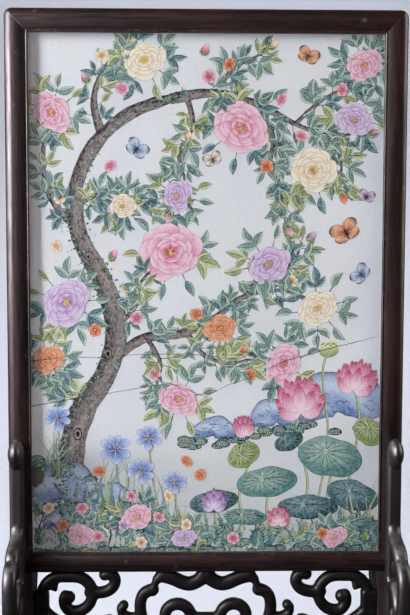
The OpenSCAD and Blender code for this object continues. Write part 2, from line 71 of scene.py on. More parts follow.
camera = bpy.data.objects.new("camera", bpy.data.cameras.new("camera"))
camera.data.sensor_fit = "VERTICAL"
camera.data.sensor_height = SENSOR
camera.data.lens = LENS
camera.data.clip_start = 0.02
camera.matrix_world = Matrix((across, upward, -ahead)).transposed().to_4x4()
camera.location = CAMERA_AT
scene.collection.objects.link(camera)
scene.camera = camera
print("camera at", [round(c, 3) for c in camera.location], "lens", LENS)

# %% [markdown]
# ## Tools
# Every new piece is a bmesh that becomes an object. Short functions link it with its material, and pick the
# vertices or the edges out of what an operator gives back.

# %% Tools for meshes
def link_mesh(name, bm, material, smooth=True):
    mesh = bpy.data.meshes.new(name)
    bm.to_mesh(mesh)
    bm.free()
    mesh.materials.append(material)
    if smooth:
        mesh.shade_smooth()
    obj = bpy.data.objects.new(name, mesh)
    scene.collection.objects.link(obj)
    return obj


def verts_of(geometry):
    return [g for g in geometry if isinstance(g, bmesh.types.BMVert)]


def edges_of(geometry):
    return [g for g in geometry if isinstance(g, bmesh.types.BMEdge)]


print("mesh tools ready")

# %% [markdown]
# Every finish is a tree of nodes, and most of it is wiring. A few functions take that up, one for each kind
# of node that is used often. They accept numbers and sockets alike.

# %% Tools for nodes
def new_material(name):
    material = bpy.data.materials.new(name)
    material.use_nodes = True
    tree = material.node_tree
    return material, tree, tree.nodes["Principled BSDF"]


def add_node(tree, kind, sources=None, **values):
    node = tree.nodes.new(kind)
    for key, value in values.items():
        if hasattr(node, key):
            setattr(node, key, value)
        else:
            node.inputs[key.replace("_", " ")].default_value = value
    for socket, source in (sources or {}).items():
        if isinstance(source, (int, float, tuple)):
            node.inputs[socket].default_value = source
        else:
            tree.links.new(source, node.inputs[socket])
    return node


def math_node(tree, operation, *sources, clamp=False):
    numbered = dict(enumerate(sources))
    return add_node(tree, "ShaderNodeMath", numbered, operation=operation, use_clamp=clamp).outputs[0]


def plus(tree, *sources, clamp=False):
    return math_node(tree, "ADD", *sources, clamp=clamp)


def minus(tree, *sources):
    return math_node(tree, "SUBTRACT", *sources)


def times(tree, *sources, clamp=False):
    return math_node(tree, "MULTIPLY", *sources, clamp=clamp)


def step_up(tree, value, low, high):
    """A soft step from 0 at low to 1 at high."""
    limits = {"Value": value, "From Min": low, "From Max": high}
    return add_node(tree, "ShaderNodeMapRange", limits, interpolation_type="SMOOTHSTEP").outputs[0]


def step_down(tree, value, low, high):
    return minus(tree, 1.0, step_up(tree, value, low, high))


def mix_colour(tree, factor, first, second, blend="MIX"):
    sources = {"Fac": factor, "Color1": first, "Color2": second}
    return add_node(tree, "ShaderNodeMixRGB", sources, blend_type=blend).outputs[0]


def object_place(tree):
    return add_node(tree, "ShaderNodeTexCoord").outputs["Object"]


def noise(tree, place, scale, detail, **values):
    node = add_node(tree, "ShaderNodeTexNoise", {"Vector": place}, Scale=scale, Detail=detail, **values)
    return node.outputs["Fac"]


def cells(tree, place, scale):
    return add_node(tree, "ShaderNodeTexVoronoi", {"Vector": place}, Scale=scale).outputs["Distance"]


def relief(tree, shader, height, strength, reach):
    node = add_node(tree, "ShaderNodeBump", {"Height": height}, Strength=strength, Distance=reach * MM)
    tree.links.new(node.outputs[0], shader.inputs["Normal"])


print("node tools ready")

# %% [markdown]
# ## Floor, backdrop and light
# The setting is a pale sweep of paper: a floor that curves up into a wall, with painted shade that greys
# the floor in front. It could be two planes, but a seam would show through the openings of the apron. One
# edge is extruded along the floor and spun through a quarter turn, so the paper bends without a seam. A
# camera behind the wall looks through the paper, so the back of the screen can be seen as well.

# %% Paper sweep
PAPER, PAPER_FRONT_SHADE = (0.62, 0.63, 0.70, 1), (0.52, 0.53, 0.59, 1)
FADE_NEAR, FADE_FAR = 1.0, 2.3
SWEEP_HALF, SWEEP_FRONT, SWEEP_BACK, SWEEP_BEND, SWEEP_TOP, BEND_STEPS = 3.2, -2.6, 1.2, 0.8, 3.2, 16

paper, tree, shader = new_material("paper_sweep")
shader.inputs["Roughness"].default_value = 0.9
place = object_place(tree)
depth = add_node(tree, "ShaderNodeSeparateXYZ", {"Vector": place}).outputs["Y"]
# Painted shade: the floor in front is a darker grey that fades into the paler paper towards the wall.
front_shade = step_up(tree, plus(tree, depth, noise(tree, place, 60.0, 4.0)), FADE_NEAR, FADE_FAR)
tree.links.new(mix_colour(tree, front_shade, PAPER_FRONT_SHADE, PAPER), shader.inputs["Base Color"])
behind = add_node(tree, "ShaderNodeNewGeometry").outputs["Backfacing"]
by_camera = add_node(tree, "ShaderNodeLightPath").outputs["Is Camera Ray"]
clear = add_node(tree, "ShaderNodeBsdfTransparent").outputs[0]
from_behind = times(tree, behind, by_camera)
seen = add_node(tree, "ShaderNodeMixShader", {0: from_behind, 1: shader.outputs[0], 2: clear})
tree.links.new(seen.outputs[0], tree.nodes["Material Output"].inputs["Surface"])

bm = bmesh.new()
ends = [bm.verts.new((side * SWEEP_HALF, SWEEP_FRONT, 0)) for side in (-1, 1)]
edge = bm.edges.new(ends)
far = verts_of(bmesh.ops.extrude_edge_only(bm, edges=[edge])["geom"])
bmesh.ops.translate(bm, verts=far, vec=(0, SWEEP_BACK - SWEEP_FRONT, 0))
far_edge = [e for e in bm.edges if all(v in far for v in e.verts)]
bent = bmesh.ops.spin(bm, geom=far_edge, cent=(0, SWEEP_BACK, SWEEP_BEND), axis=(1, 0, 0),
                      angle=math.pi / 2, steps=BEND_STEPS)["geom_last"]
top = verts_of(bmesh.ops.extrude_edge_only(bm, edges=edges_of(bent))["geom"])
bmesh.ops.translate(bm, verts=top, vec=(0, 0, SWEEP_TOP - SWEEP_BEND))
bmesh.ops.recalc_face_normals(bm, faces=bm.faces)
bmesh.ops.reverse_faces(bm, faces=bm.faces)
sweep_paper = link_mesh("paper_sweep", bm, paper)
sweep_paper.visible_glossy = False
print("paper sweep faces:", len(sweep_paper.data.polygons))

# %% [markdown]
# Studio light comes from large soft boxes. In the photograph a tall box stands at the left and brightens
# the rounded edge of the left stile, a weaker one stands at the right, and the paper is lit from above. Four
# sheen panels add reflections alone: they show in the polish of the wood and give no diffuse light.

# %% Soft boxes
LOW_AIM, HIGH_AIM, PAPER_AIM = (0, 0, 0.42), (0, 0, 0.6), (-0.1, 1.6, 0.2)
# Each box has a place, a size, a power in watts, a colour, a point to aim at and a spread in degrees.
SOFT_BOXES = {
    "left_box": ((-2.37, -0.79, 1.35), (0.44, 2.1), 33, (0.88, 0.935, 1.0), HIGH_AIM, 80),
    "right_box": ((1.45, -0.42, 1.0), (0.5, 1.2), 11, (1.0, 0.89, 0.72), LOW_AIM, 180),
    "paper_box": ((-0.9, 1.15, 3.1), (2.4, 0.8), 62, (0.94, 0.965, 1.0), PAPER_AIM, 150),
    "left_panel": ((-1.6, -0.05, 1.0), (0.8, 1.5), 36, (1.0, 0.97, 1.0), HIGH_AIM, 180),
    "side_panel": ((-1.41, -0.95, 1.05), (0.5, 1.2), 100, (1.0, 0.88, 0.94), HIGH_AIM, 180),
    "front_panel": ((-1.08, -1.30, 1.05), (0.45, 1.2), 58, (1.0, 0.86, 0.92), HIGH_AIM, 180),
    "right_panel": ((1.6, 0.12, 1.0), (0.8, 1.5), 19, (0.98, 0.95, 1.0), HIGH_AIM, 180),
}
for name, (spot, size, watts, colour, aim, spread) in SOFT_BOXES.items():
    lamp = bpy.data.lights.new(name, "AREA")
    lamp.spread = math.radians(spread)
    lamp.shape = "RECTANGLE"
    lamp.size, lamp.size_y = size
    lamp.energy = watts
    lamp.color = colour
    light = bpy.data.objects.new(name, lamp)
    light.location = spot
    light.rotation_euler = (Vector(aim) - light.location).to_track_quat("-Z", "Y").to_euler()
    light.visible_glossy = name != "paper_box"
    light.visible_diffuse = not name.endswith("_panel")
    scene.collection.objects.link(light)

AIR, AIR_LIGHT, AIR_SEEN = (0.84, 0.86, 0.93, 1), 0.05, 0.4
scene.world = bpy.data.worlds.new("studio")
scene.world.use_nodes = True
sky = scene.world.node_tree
air = sky.nodes["Background"]
air.inputs["Color"].default_value = AIR
air.inputs["Strength"].default_value = AIR_LIGHT
room = add_node(sky, "ShaderNodeBackground", Color=AIR, Strength=AIR_SEEN)
by_camera = add_node(sky, "ShaderNodeLightPath").outputs["Is Camera Ray"]
seen = add_node(sky, "ShaderNodeMixShader", {0: by_camera, 1: air.outputs[0], 2: room.outputs[0]})
sky.links.new(seen.outputs[0], sky.nodes["World Output"].inputs["Surface"])
scene.view_settings.view_transform = "Standard"

# %% [markdown]
# ## Wood
# The frame is a dense red hardwood, polished until it reflects; the stand is the same kind of wood,
# stained nearly black and waxed. A picture of wood would slide over the carving, so the grain is made from
# noise in Object coordinates, stretched along each member. Three node groups hold what the woods share: the
# figure of the grain, the wear that lightens edges, and the dust on the carving.

# %% Node group for the figure of the wood
COLOUR, VALUE, VECTOR = "NodeSocketColor", "NodeSocketFloat", "NodeSocketVector"


def new_group(name, inputs, outputs):
    group = bpy.data.node_groups.new(name, "ShaderNodeTree")
    for label, kind in inputs:
        group.interface.new_socket(label, in_out="INPUT", socket_type=kind)
    for label, kind in outputs:
        group.interface.new_socket(label, in_out="OUTPUT", socket_type=kind)
    return group, group.nodes.new("NodeGroupInput").outputs, group.nodes.new("NodeGroupOutput").inputs


def use_group(tree, group, sources, **values):
    return add_node(tree, "ShaderNodeGroup", sources, node_tree=group, **values).outputs


GRAIN_STRETCH, BAND_SHARE, FINE_SHARE = (0.07, 1, 1), 0.55, 0.45
PATCH_DARK, PATCH_LIGHT = (0.82, 0.82, 0.82, 1), (1.12, 1.12, 1.12, 1)
PORE_DARKENS, PORE_ROUGHENS, PATCH_ROUGHENS, FIGURE_RISE = 0.7, 0.18, 0.10, 0.5
SHEEN_LOW, STREAK_SHEEN, PORE_DULLS = 0.3, 1.2, 0.3
wood_figure, given, result = new_group(
    "wood_figure",
    [("Grain", VECTOR), ("Dark", COLOUR), ("Light", COLOUR), ("Pore", COLOUR), ("Polish", VALUE)],
    [("Color", COLOUR), ("Roughness", VALUE), ("Height", VALUE), ("Sheen", VALUE)])
stretch = {"Vector": given["Grain"], "Scale": GRAIN_STRETCH}
grain = add_node(wood_figure, "ShaderNodeMapping", stretch).outputs[0]
bands = noise(wood_figure, grain, 95.0, 5.0, Roughness=0.6, Distortion=0.7)
fine = noise(wood_figure, grain, 430.0, 4.0, Roughness=0.7)
patches = noise(wood_figure, given["Grain"], 14.0, 3.0)
pore = step_down(wood_figure, cells(wood_figure, grain, 620.0), 0.05, 0.22)
figure = plus(wood_figure, times(wood_figure, bands, BAND_SHARE), times(wood_figure, fine, FINE_SHARE))
streak = step_up(wood_figure, figure, 0.36, 0.66)
shade = mix_colour(wood_figure, streak, given["Dark"], given["Light"])
patch = mix_colour(wood_figure, step_up(wood_figure, patches, 0.35, 0.7), PATCH_DARK, PATCH_LIGHT)
shade = mix_colour(wood_figure, 1.0, shade, patch, "MULTIPLY")
shade = mix_colour(wood_figure, times(wood_figure, pore, PORE_DARKENS), shade, given["Pore"])
wood_figure.links.new(shade, result["Color"])
rough = plus(wood_figure, given["Polish"], times(wood_figure, pore, PORE_ROUGHENS))
dull = times(wood_figure, step_up(wood_figure, patches, 0.3, 0.75), PATCH_ROUGHENS)
wood_figure.links.new(plus(wood_figure, rough, dull, clamp=True), result["Roughness"])
height = minus(wood_figure, times(wood_figure, figure, FIGURE_RISE), pore)
wood_figure.links.new(height, result["Height"])
sheen = plus(wood_figure, times(wood_figure, streak, STREAK_SHEEN), SHEEN_LOW)
sheen = minus(wood_figure, sheen, times(wood_figure, pore, PORE_DULLS))
wood_figure.links.new(sheen, result["Sheen"])
print("group", wood_figure.name, "nodes:", len(wood_figure.nodes))

# %% [markdown]
# Handled edges lose stain and wax and turn paler. The Bevel node gives the normal that a rounded edge
# would have; where it differs from the real normal there is an edge, and noise breaks it into chips. A few
# small dents are strewn over the flats as well. On the frame the amount is doubled, so there the pale
# edges, the inner bead most of all, are also a painted highlight.

# %% Node group for worn edges
EDGE_ROUND, EVEN_WEAR, DENT_PALE = 1.2, 0.12, 0.3
edge_wear, given, result = new_group(
    "edge_wear", [("Place", VECTOR), ("Amount", VALUE)], [("Mask", VALUE)])
rounded = add_node(edge_wear, "ShaderNodeBevel", samples=4, Radius=EDGE_ROUND * MM).outputs[0]
flat_normal = add_node(edge_wear, "ShaderNodeNewGeometry").outputs["Normal"]
turned = add_node(edge_wear, "ShaderNodeVectorMath", {0: rounded, 1: flat_normal}, operation="DOT_PRODUCT")
edge_mask = step_up(edge_wear, minus(edge_wear, 1.0, turned.outputs["Value"]), 0.01, 0.12)
chips = noise(edge_wear, given["Place"], 170.0, 4.0, Roughness=0.7)
rubs = noise(edge_wear, given["Place"], 22.0, 2.0)
spots = times(edge_wear, step_up(edge_wear, chips, 0.5, 0.62), step_up(edge_wear, rubs, 0.42, 0.62))
worn_edge = times(edge_wear, edge_mask, plus(edge_wear, spots, EVEN_WEAR))
dent = times(edge_wear, step_down(edge_wear, cells(edge_wear, given["Place"], 52.0), 0.05, 0.2), DENT_PALE)
dent = times(edge_wear, dent, step_up(edge_wear, chips, 0.46, 0.6))
dent = times(edge_wear, dent, step_up(edge_wear, rubs, 0.48, 0.56))
worn_mask = math_node(edge_wear, "MAXIMUM", worn_edge, dent)
edge_wear.links.new(times(edge_wear, worn_mask, given["Amount"], clamp=True), result["Mask"])
print("group", edge_wear.name, "nodes:", len(edge_wear.nodes))

# %% [markdown]
# Dust settles where carving faces upwards, and the wax is dull there. The mask follows the upright part of
# the normal, and noise leaves some of it wiped off.

# %% Node group for settled dust
settled_dust, given, result = new_group(
    "settled_dust", [("Place", VECTOR), ("Amount", VALUE)], [("Mask", VALUE)])
facing = add_node(settled_dust, "ShaderNodeNewGeometry").outputs["Normal"]
uphill = add_node(settled_dust, "ShaderNodeSeparateXYZ", {"Vector": facing}).outputs["Z"]
wiped = noise(settled_dust, given["Place"], 75.0, 5.0, Roughness=0.65)
left_over = step_up(settled_dust, wiped, 0.4, 0.64)
settled = times(settled_dust, step_up(settled_dust, uphill, 0.32, 0.8), left_over)
settled_dust.links.new(times(settled_dust, settled, given["Amount"], clamp=True), result["Mask"])
print("group", settled_dust.name, "nodes:", len(settled_dust.nodes))

# %% [markdown]
# One function makes every wood. Its Mapping node turns the pattern so that the grain runs along the member:
# along X for rails, Y for the feet, Z for stiles and posts.

# %% Woods
GRAIN_TURN = {"X": (0, 0, 0), "Y": (0, 0, -math.pi / 2), "Z": (0, math.pi / 2, 0)}
DUST, DUST_DULLS, GRAIN_RELIEF = (0.135, 0.135, 0.118, 1), 0.4, 0.2


def wood(name, axis, dark, light, pore, polish, pale_edge_colour, wear_and_highlight=1.0, bump=0.12, coat=0.3, coat_rough=0.2,
         gloss=0.5, dust=0.0):
    material, tree, shader = new_material(f"{name}_{axis.lower()}")
    place = object_place(tree)
    grain = add_node(tree, "ShaderNodeMapping", {"Vector": place, "Rotation": GRAIN_TURN[axis]}).outputs[0]
    tones = {"Dark": (*dark, 1), "Light": (*light, 1), "Pore": (*pore, 1)}
    figure = use_group(tree, wood_figure, {"Grain": grain, "Polish": polish, **tones})
    edges = use_group(tree, edge_wear, {"Place": place, "Amount": wear_and_highlight})
    colour = mix_colour(tree, edges["Mask"], figure["Color"], (*pale_edge_colour, 1))
    rough, sheen = figure["Roughness"], figure["Sheen"]
    if dust:
        grime = use_group(tree, settled_dust, {"Place": place, "Amount": dust})["Mask"]
        colour = mix_colour(tree, grime, colour, DUST)
        rough = plus(tree, rough, times(tree, grime, DUST_DULLS), clamp=True)
        sheen = times(tree, sheen, minus(tree, 1.0, grime))
    tree.links.new(colour, shader.inputs["Base Color"])
    tree.links.new(rough, shader.inputs["Roughness"])
    relief(tree, shader, figure["Height"], bump, GRAIN_RELIEF)
    shader.inputs["Specular IOR Level"].default_value = gloss
    if coat:
        tree.links.new(times(tree, sheen, coat), shader.inputs["Coat Weight"])
    shader.inputs["Coat Roughness"].default_value = coat_rough
    return material


# The frame's pale edges are partly real wear and partly a painted highlight: their amount is doubled to
# brighten the bead.
FRAME_TONES = dict(dark=(0.0068, 0.0020, 0.0019), light=(0.031, 0.0068, 0.0056),
                   pore=(0.004, 0.0018, 0.0018), polish=0.46, pale_edge_colour=(0.26, 0.19, 0.16), wear_and_highlight=2.0, coat=0.5,
                   coat_rough=0.31, gloss=0.08)
STAND_TONES = dict(dark=(0.0075, 0.0056, 0.0058), light=(0.018, 0.0128, 0.0125), pore=(0.004, 0.003, 0.003),
                   polish=0.37, pale_edge_colour=(0.12, 0.095, 0.085), coat=0.15, coat_rough=0.27, gloss=0.3, dust=0.5)
# The apron is the stand's wood with a darker base colour, which is painted shade for its place under the
# frame, and a duller finish.
APRON_SHADED_TONES = dict(dark=(0.0036, 0.0031, 0.0032), light=(0.0095, 0.0076, 0.0075),
                   pore=(0.003, 0.0025, 0.0025), polish=0.45, pale_edge_colour=(0.09, 0.075, 0.070), coat=0.06,
                   coat_rough=0.3, gloss=0.1, dust=0.15)
POST_TONES = dict(dark=(0.012, 0.0065, 0.006), light=(0.030, 0.014, 0.012), pore=(0.006, 0.003, 0.003),
                  polish=0.38, pale_edge_colour=(0.12, 0.08, 0.07), coat=0.15, coat_rough=0.3)
BACK_TONES = dict(dark=(0.17, 0.090, 0.045), light=(0.33, 0.20, 0.11), pore=(0.07, 0.035, 0.02),
                  polish=0.62, pale_edge_colour=(0.45, 0.32, 0.20), bump=0.35, coat=0.0)
frame_wood = {axis: wood("frame_wood", axis, **FRAME_TONES) for axis in "XZ"}
stand_wood = {axis: wood("stand_wood", axis, **STAND_TONES) for axis in "XYZ"}
shaded_apron_wood = wood("shaded_apron_wood", "X", **APRON_SHADED_TONES)
post_wood = wood("post_wood", "Z", **POST_TONES)
back_wood = {axis: wood("back_wood", axis, **BACK_TONES) for axis in "XZ"}
print("woods:", [m.name for m in bpy.data.materials if "wood" in m.name])

# %% [markdown]
# The brass pins at the back have dulled: the metal is yellow where it is rubbed and brown in between.

# %% Brass
BRASS_RUBBED, BRASS_BROWN = (0.52, 0.36, 0.13, 1), (0.16, 0.10, 0.05, 1)
BRASS_SMOOTH, STAIN_ROUGHENS = 0.32, 0.3
brass, tree, shader = new_material("dull_brass")
stain = step_up(tree, noise(tree, object_place(tree), 900.0, 4.0), 0.4, 0.65)
tree.links.new(mix_colour(tree, stain, BRASS_RUBBED, BRASS_BROWN), shader.inputs["Base Color"])
tree.links.new(plus(tree, times(tree, stain, STAIN_ROUGHENS), BRASS_SMOOTH), shader.inputs["Roughness"])
shader.inputs["Metallic"].default_value = 1.0
print("brass ready")

# %% [markdown]
# ## Members that keep their solids
# Rails, stiles, posts, feet, planks, battens, strips, pegs and pins already have the right shape, so they
# only take a finish. Each gets the wood whose grain runs along its own length.

# %% Finishes for the solids
FINISHES = {
    "frame_top_rail": frame_wood["X"], "frame_bottom_rail": frame_wood["X"],
    "frame_left_stile": frame_wood["Z"], "frame_right_stile": frame_wood["Z"],
    "left_post": post_wood, "right_post": post_wood,
    "left_foot": stand_wood["Y"], "right_foot": stand_wood["Y"], "lower_rail": stand_wood["X"],
    "backing_plank_left": back_wood["Z"], "backing_plank_centre": back_wood["Z"],
    "backing_plank_right": back_wood["Z"], "back_batten_upper": back_wood["X"],
    "back_batten_lower": back_wood["X"], "retaining_strip_top": back_wood["X"],
    "retaining_strip_bottom": back_wood["X"], "retaining_strip_left": back_wood["Z"],
    "retaining_strip_right": back_wood["Z"], "strip_pins": brass, "frame_corner_pegs": stand_wood["Y"],
    "rail_pegs": stand_wood["Y"], "foot_pegs": stand_wood["X"],
}
for node_name, material in FINISHES.items():
    nodes[node_name].data.materials.clear()
    nodes[node_name].data.materials.append(material)
print("finished solids:", len(FINISHES))

# %% [markdown]
# ## Carved scrolls
# The apron and the brackets are carved from boards: every band is rounded over on its faces, curls up at
# its end and stops in a round knob. A flat board with a bevel would look sawn. Here a rounded ring is
# extruded along each drawn line, station by station, and ends in a shrinking tip. The sweeps are then fused
# by a voxel remesh, which also softens the inner corners as a carver's scraper does.
# The lines follow those of the solids, in millimetres, and are bolder on the apron.

# %% Lines and sweeps
def arc(centre, start_radius, end_radius, start, end, count):
    points = []
    for k in range(count + 1):
        share = k / count
        radius = start_radius + (end_radius - start_radius) * share
        angle = math.radians(start + (end - start) * share)
        points.append((centre[0] + radius * math.cos(angle), centre[1] + radius * math.sin(angle)))
    return points


def smooth_line(points, steps=5):
    knots = [Vector(p) for p in points]
    last = len(knots) - 1
    out = []
    for i in range(last):
        a, b, c, d = knots[max(i - 1, 0)], knots[i], knots[i + 1], knots[min(i + 2, last)]
        for k in range(steps):
            t = k / steps
            out.append((2 * b + (c - a) * t + (2 * a - 5 * b + 4 * c - d) * t * t
                        + (3 * b - a - 3 * c + d) * t ** 3) / 2)
    return [tuple(p) for p in out + [knots[last]]]


SECTION_SIDES, SECTION_SQUARENESS, TIP_ANGLES = 18, 2.5, (25, 50, 72, 86)


def ring_place(point, along, wide, thick):
    """Puts a unit ring across a line of the drawing plane; the board's thickness is along Z."""
    side = Vector((-along.y, along.x))
    return Matrix(((side.x * wide / 2, 0, along.x, point.x), (side.y * wide / 2, 0, along.y, point.y),
                   (0, thick / 2, 0, 0), (0, 0, 0, 1)))


def edges_around(verts):
    """The edges at some vertices, each once and always in the same order."""
    return list(dict.fromkeys(e for v in verts for e in v.link_edges))


def sweep(bm, line, wide, thick, end_wide=None):
    points = [Vector(p) for p in line]
    last = len(points) - 1
    end_wide = end_wide or wide
    stops = []
    for i, point in enumerate(points):
        along = (points[min(i + 1, last)] - points[max(i - 1, 0)]).normalized()
        stops.append((point, along, wide + (end_wide - wide) * i / last, 1.0))
    (p0, d0, w0, _), (p1, d1, w1, _) = stops[0], stops[-1]
    for angle in TIP_ANGLES:
        reach, shrink = math.sin(math.radians(angle)) / 2, math.cos(math.radians(angle))
        stops.insert(0, (p0 - d0 * w0 * reach, d0, w0 * shrink, shrink))
        stops.append((p1 + d1 * w1 * reach, d1, w1 * shrink, shrink))
    places = [ring_place(p, d, w, thick * s) for p, d, w, s in stops]
    ring = bmesh.ops.create_circle(bm, segments=SECTION_SIDES, radius=1.0)["verts"]
    for v in ring:
        v.co = [math.copysign(abs(c) ** (2 / SECTION_SQUARENESS), c) for c in v.co]
    edges = edges_around(ring)
    bmesh.ops.transform(bm, matrix=places[0], verts=ring)
    bmesh.ops.edgeloop_fill(bm, edges=edges)
    for before, after in zip(places, places[1:]):
        grown = bmesh.ops.extrude_edge_only(bm, edges=edges)["geom"]
        ring = verts_of(grown)
        fresh = set(ring)
        edges = [e for e in edges_of(grown) if fresh.issuperset(e.verts)]
        bmesh.ops.transform(bm, matrix=after @ before.inverted(), verts=ring)
    bmesh.ops.edgeloop_fill(bm, edges=edges)


def knob(bm, centre, radius, thick):
    ball = bmesh.ops.create_uvsphere(bm, u_segments=20, v_segments=12, radius=1.0)["verts"]
    bmesh.ops.scale(bm, vec=(radius, radius, thick / 2), verts=ball)
    bmesh.ops.translate(bm, vec=(*centre, 0), verts=ball)


def block(bm, low, high, thick, round_over):
    cube = bmesh.ops.create_cube(bm, size=1.0)["verts"]
    bmesh.ops.scale(bm, vec=(high[0] - low[0], high[1] - low[1], thick), verts=cube)
    bmesh.ops.translate(bm, vec=((low[0] + high[0]) / 2, (low[1] + high[1]) / 2, 0), verts=cube)
    bmesh.ops.bevel(bm, geom=edges_around(cube), offset=round_over, affect="EDGES", segments=4, profile=0.5,
                    material=-1)


SOFT_FACTOR, SOFT_ROUNDS = 0.5, 3


def fuse(name, bm, voxel, material, place):
    """Fuses overlapping sweeps, softens them, and puts the result in its place in metres."""
    bmesh.ops.recalc_face_normals(bm, faces=bm.faces)
    obj = link_mesh(name, bm, material)
    union = obj.modifiers.new("union", "REMESH")
    union.mode = "VOXEL"
    union.voxel_size = voxel
    soften = obj.modifiers.new("soften", "SMOOTH")
    soften.factor, soften.iterations = SOFT_FACTOR, SOFT_ROUNDS
    solid = bpy.data.meshes.new_from_object(obj.evaluated_get(bpy.context.evaluated_depsgraph_get()))
    obj.modifiers.clear()
    rough_mesh, obj.data = obj.data, solid
    bpy.data.meshes.remove(rough_mesh)
    solid.transform(place)
    if place.determinant() < 0:
        solid.flip_normals()
    solid.shade_smooth()
    return obj


print("sweep section sides:", SECTION_SIDES)

# %% [markdown]
# The apron hangs under the frame. Each half has a large outer scroll, a small hook beside it, a festoon that
# dips to the middle, a cloud line that rolls into a ring, and lower scrolls that rest on the sill. One half
# is drawn and mirrored. The frame stands on the apron, so the tops of the bands are planed off level.

# %% Carved apron
SCREEN_FOOT, SEAT_GAP, APRON_MIDDLE, APRON_THICK = 148.0, 0.05, -2.0, 14.0
SCROLL_W, HOOK_W, CLOUD_W, FESTOON_W, SIDE_W = 12.0, 12.0, 12.2, 14.4, 9.0
OUTER_SCROLL = ([(168.5, 66), (168.5, 44), (168.2, 28)] + arc((148, 26.5), 20, 19.9, -8, -90, 6)
                + arc((135, 25.4), 18.8, 18.4, -90, -270, 12) + arc((135, 25.4), 18.2, 9.5, -284, -348, 6))
SMALL_HOOK = smooth_line([(119, 23.4), (109, 23.6), (101.2, 22), (95.4, 17.8), (93, 11.6), (95.4, 5.8),
                          (101, 3.8)])
FESTOON = smooth_line([(-3, 5.1), (3.6, 8.9), (9.5, 12.6), (16.4, 14.9), (23.5, 13.6), (31, 10.2), (38, 7.6),
                       (45, 6.2)])
CLOUD = smooth_line([(54.5, 21.6), (57.5, 21.6), (63, 24.6), (66, 29.8), (67.2, 36), (67, 43), (65, 51.5),
                     (60, 63), (50, 73.5), (36, 79), (21, 77.5), (11, 70), (10.8, 60)])
CLOUD += arc((30.4, 49.8), 15.4, 9.8, 195, 430, 16)
BRIDGE = [(-2, 50), (6, 50), (14, 50)]
SIDE_HOOK = smooth_line([(65, 48.4), (72, 50), (80, 49.2), (86.2, 45), (87.2, 39.6)])
LOW_SCROLL = ([(170, 39), (165.3, 43.6), (159.4, 49.2), (151, 55)] + arc((138, 71), 14, 12.6, -76, -270, 12)
              + arc((138, 71), 12.4, 8.4, -286, -352, 5))
FOOT_SCROLL = smooth_line([(64, 54), (70.5, 65), (78.5, 71.6)]) + arc((97, 64), 15.5, 11, 128, -80, 14)
APRON_LINES = [(OUTER_SCROLL, SCROLL_W), (SMALL_HOOK, HOOK_W), (FESTOON, FESTOON_W), (CLOUD, CLOUD_W),
               (BRIDGE, SIDE_W), (SIDE_HOOK, SIDE_W), (LOW_SCROLL, SCROLL_W), (FOOT_SCROLL, SCROLL_W)]
APRON_KNOBS = [(140.6, 28.6, 6.8), (103.6, 5.0, 6.2), (31.4, 54.8, 6), (84.4, 37.4, 5.3), (143.4, 70.8, 6.4),
               (94.5, 56.5, 6)]
APRON_SPURS = [([(157, 14.5), (155.2, 17.6), (153.4, 20.2)], 16.0, 3.2),
               ([(45, 6.5), (50.5, 10.5), (52.6, 16), (50.4, 22)], 12.0, 5.0)]
STRIP_IN, STRIP_OUT, STRIP_TOP, SILL_TOP, APRON_H = 161.0, 176.4, 22.0, 84.0, 92.0
SPUR_THICK, EDGE_SOFT, APRON_VOXEL, CREASE = APRON_THICK * 0.94, 2.0, 1.15, math.radians(60)
MERGE_REACH, CUT_REACH = 1e-6, 1e-7


def whole(bm):
    return bm.verts[:] + bm.edges[:] + bm.faces[:]


def cut_away(bm, point, outward):
    """Takes off what lies beyond a plane and gives back the cut."""
    return bmesh.ops.bisect_plane(bm, geom=whole(bm), dist=CUT_REACH, plane_co=point, plane_no=outward,
                                  clear_outer=True)["geom_cut"]


bm = bmesh.new()
for line, wide in APRON_LINES:
    sweep(bm, line, wide, APRON_THICK)
for u, v, radius in APRON_KNOBS:
    knob(bm, (u, v), radius, APRON_THICK)
for line, wide, end_wide in APRON_SPURS:
    sweep(bm, line, wide, SPUR_THICK, end_wide)
block(bm, (STRIP_IN, STRIP_TOP), (STRIP_OUT, APRON_H), APRON_THICK, EDGE_SOFT)
block(bm, (-1, SILL_TOP), (STRIP_OUT, APRON_H), APRON_THICK, EDGE_SOFT)
bmesh.ops.mirror(bm, geom=whole(bm), axis="X", merge_dist=MERGE_REACH)
hang = Matrix(((MM, 0, 0, 0), (0, 0, MM, APRON_MIDDLE * MM), (0, -MM, 0, SCREEN_FOOT * MM), (0, 0, 0, 1)))
apron = fuse("carved_apron", bm, APRON_VOXEL, shaded_apron_wood, hang)
bm = bmesh.new()
bm.from_mesh(apron.data)
cut = cut_away(bm, (0, 0, (SCREEN_FOOT - SEAT_GAP) * MM), (0, 0, 1))
bmesh.ops.holes_fill(bm, edges=edges_of(cut), sides=0)
bm.to_mesh(apron.data)
bm.free()
apron.data.set_sharp_from_angle(angle=CREASE)
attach(apron, "stand")
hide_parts("openwork_apron")
print("apron faces:", len(apron.data.polygons))

# %% [markdown]
# Four brackets clasp the stiles. Seen from the side, a bracket is a plump S that rises from the foot, rolls
# over a ledge and ends in a straight finger with a ball on top; smaller scrolls fill the space behind it.

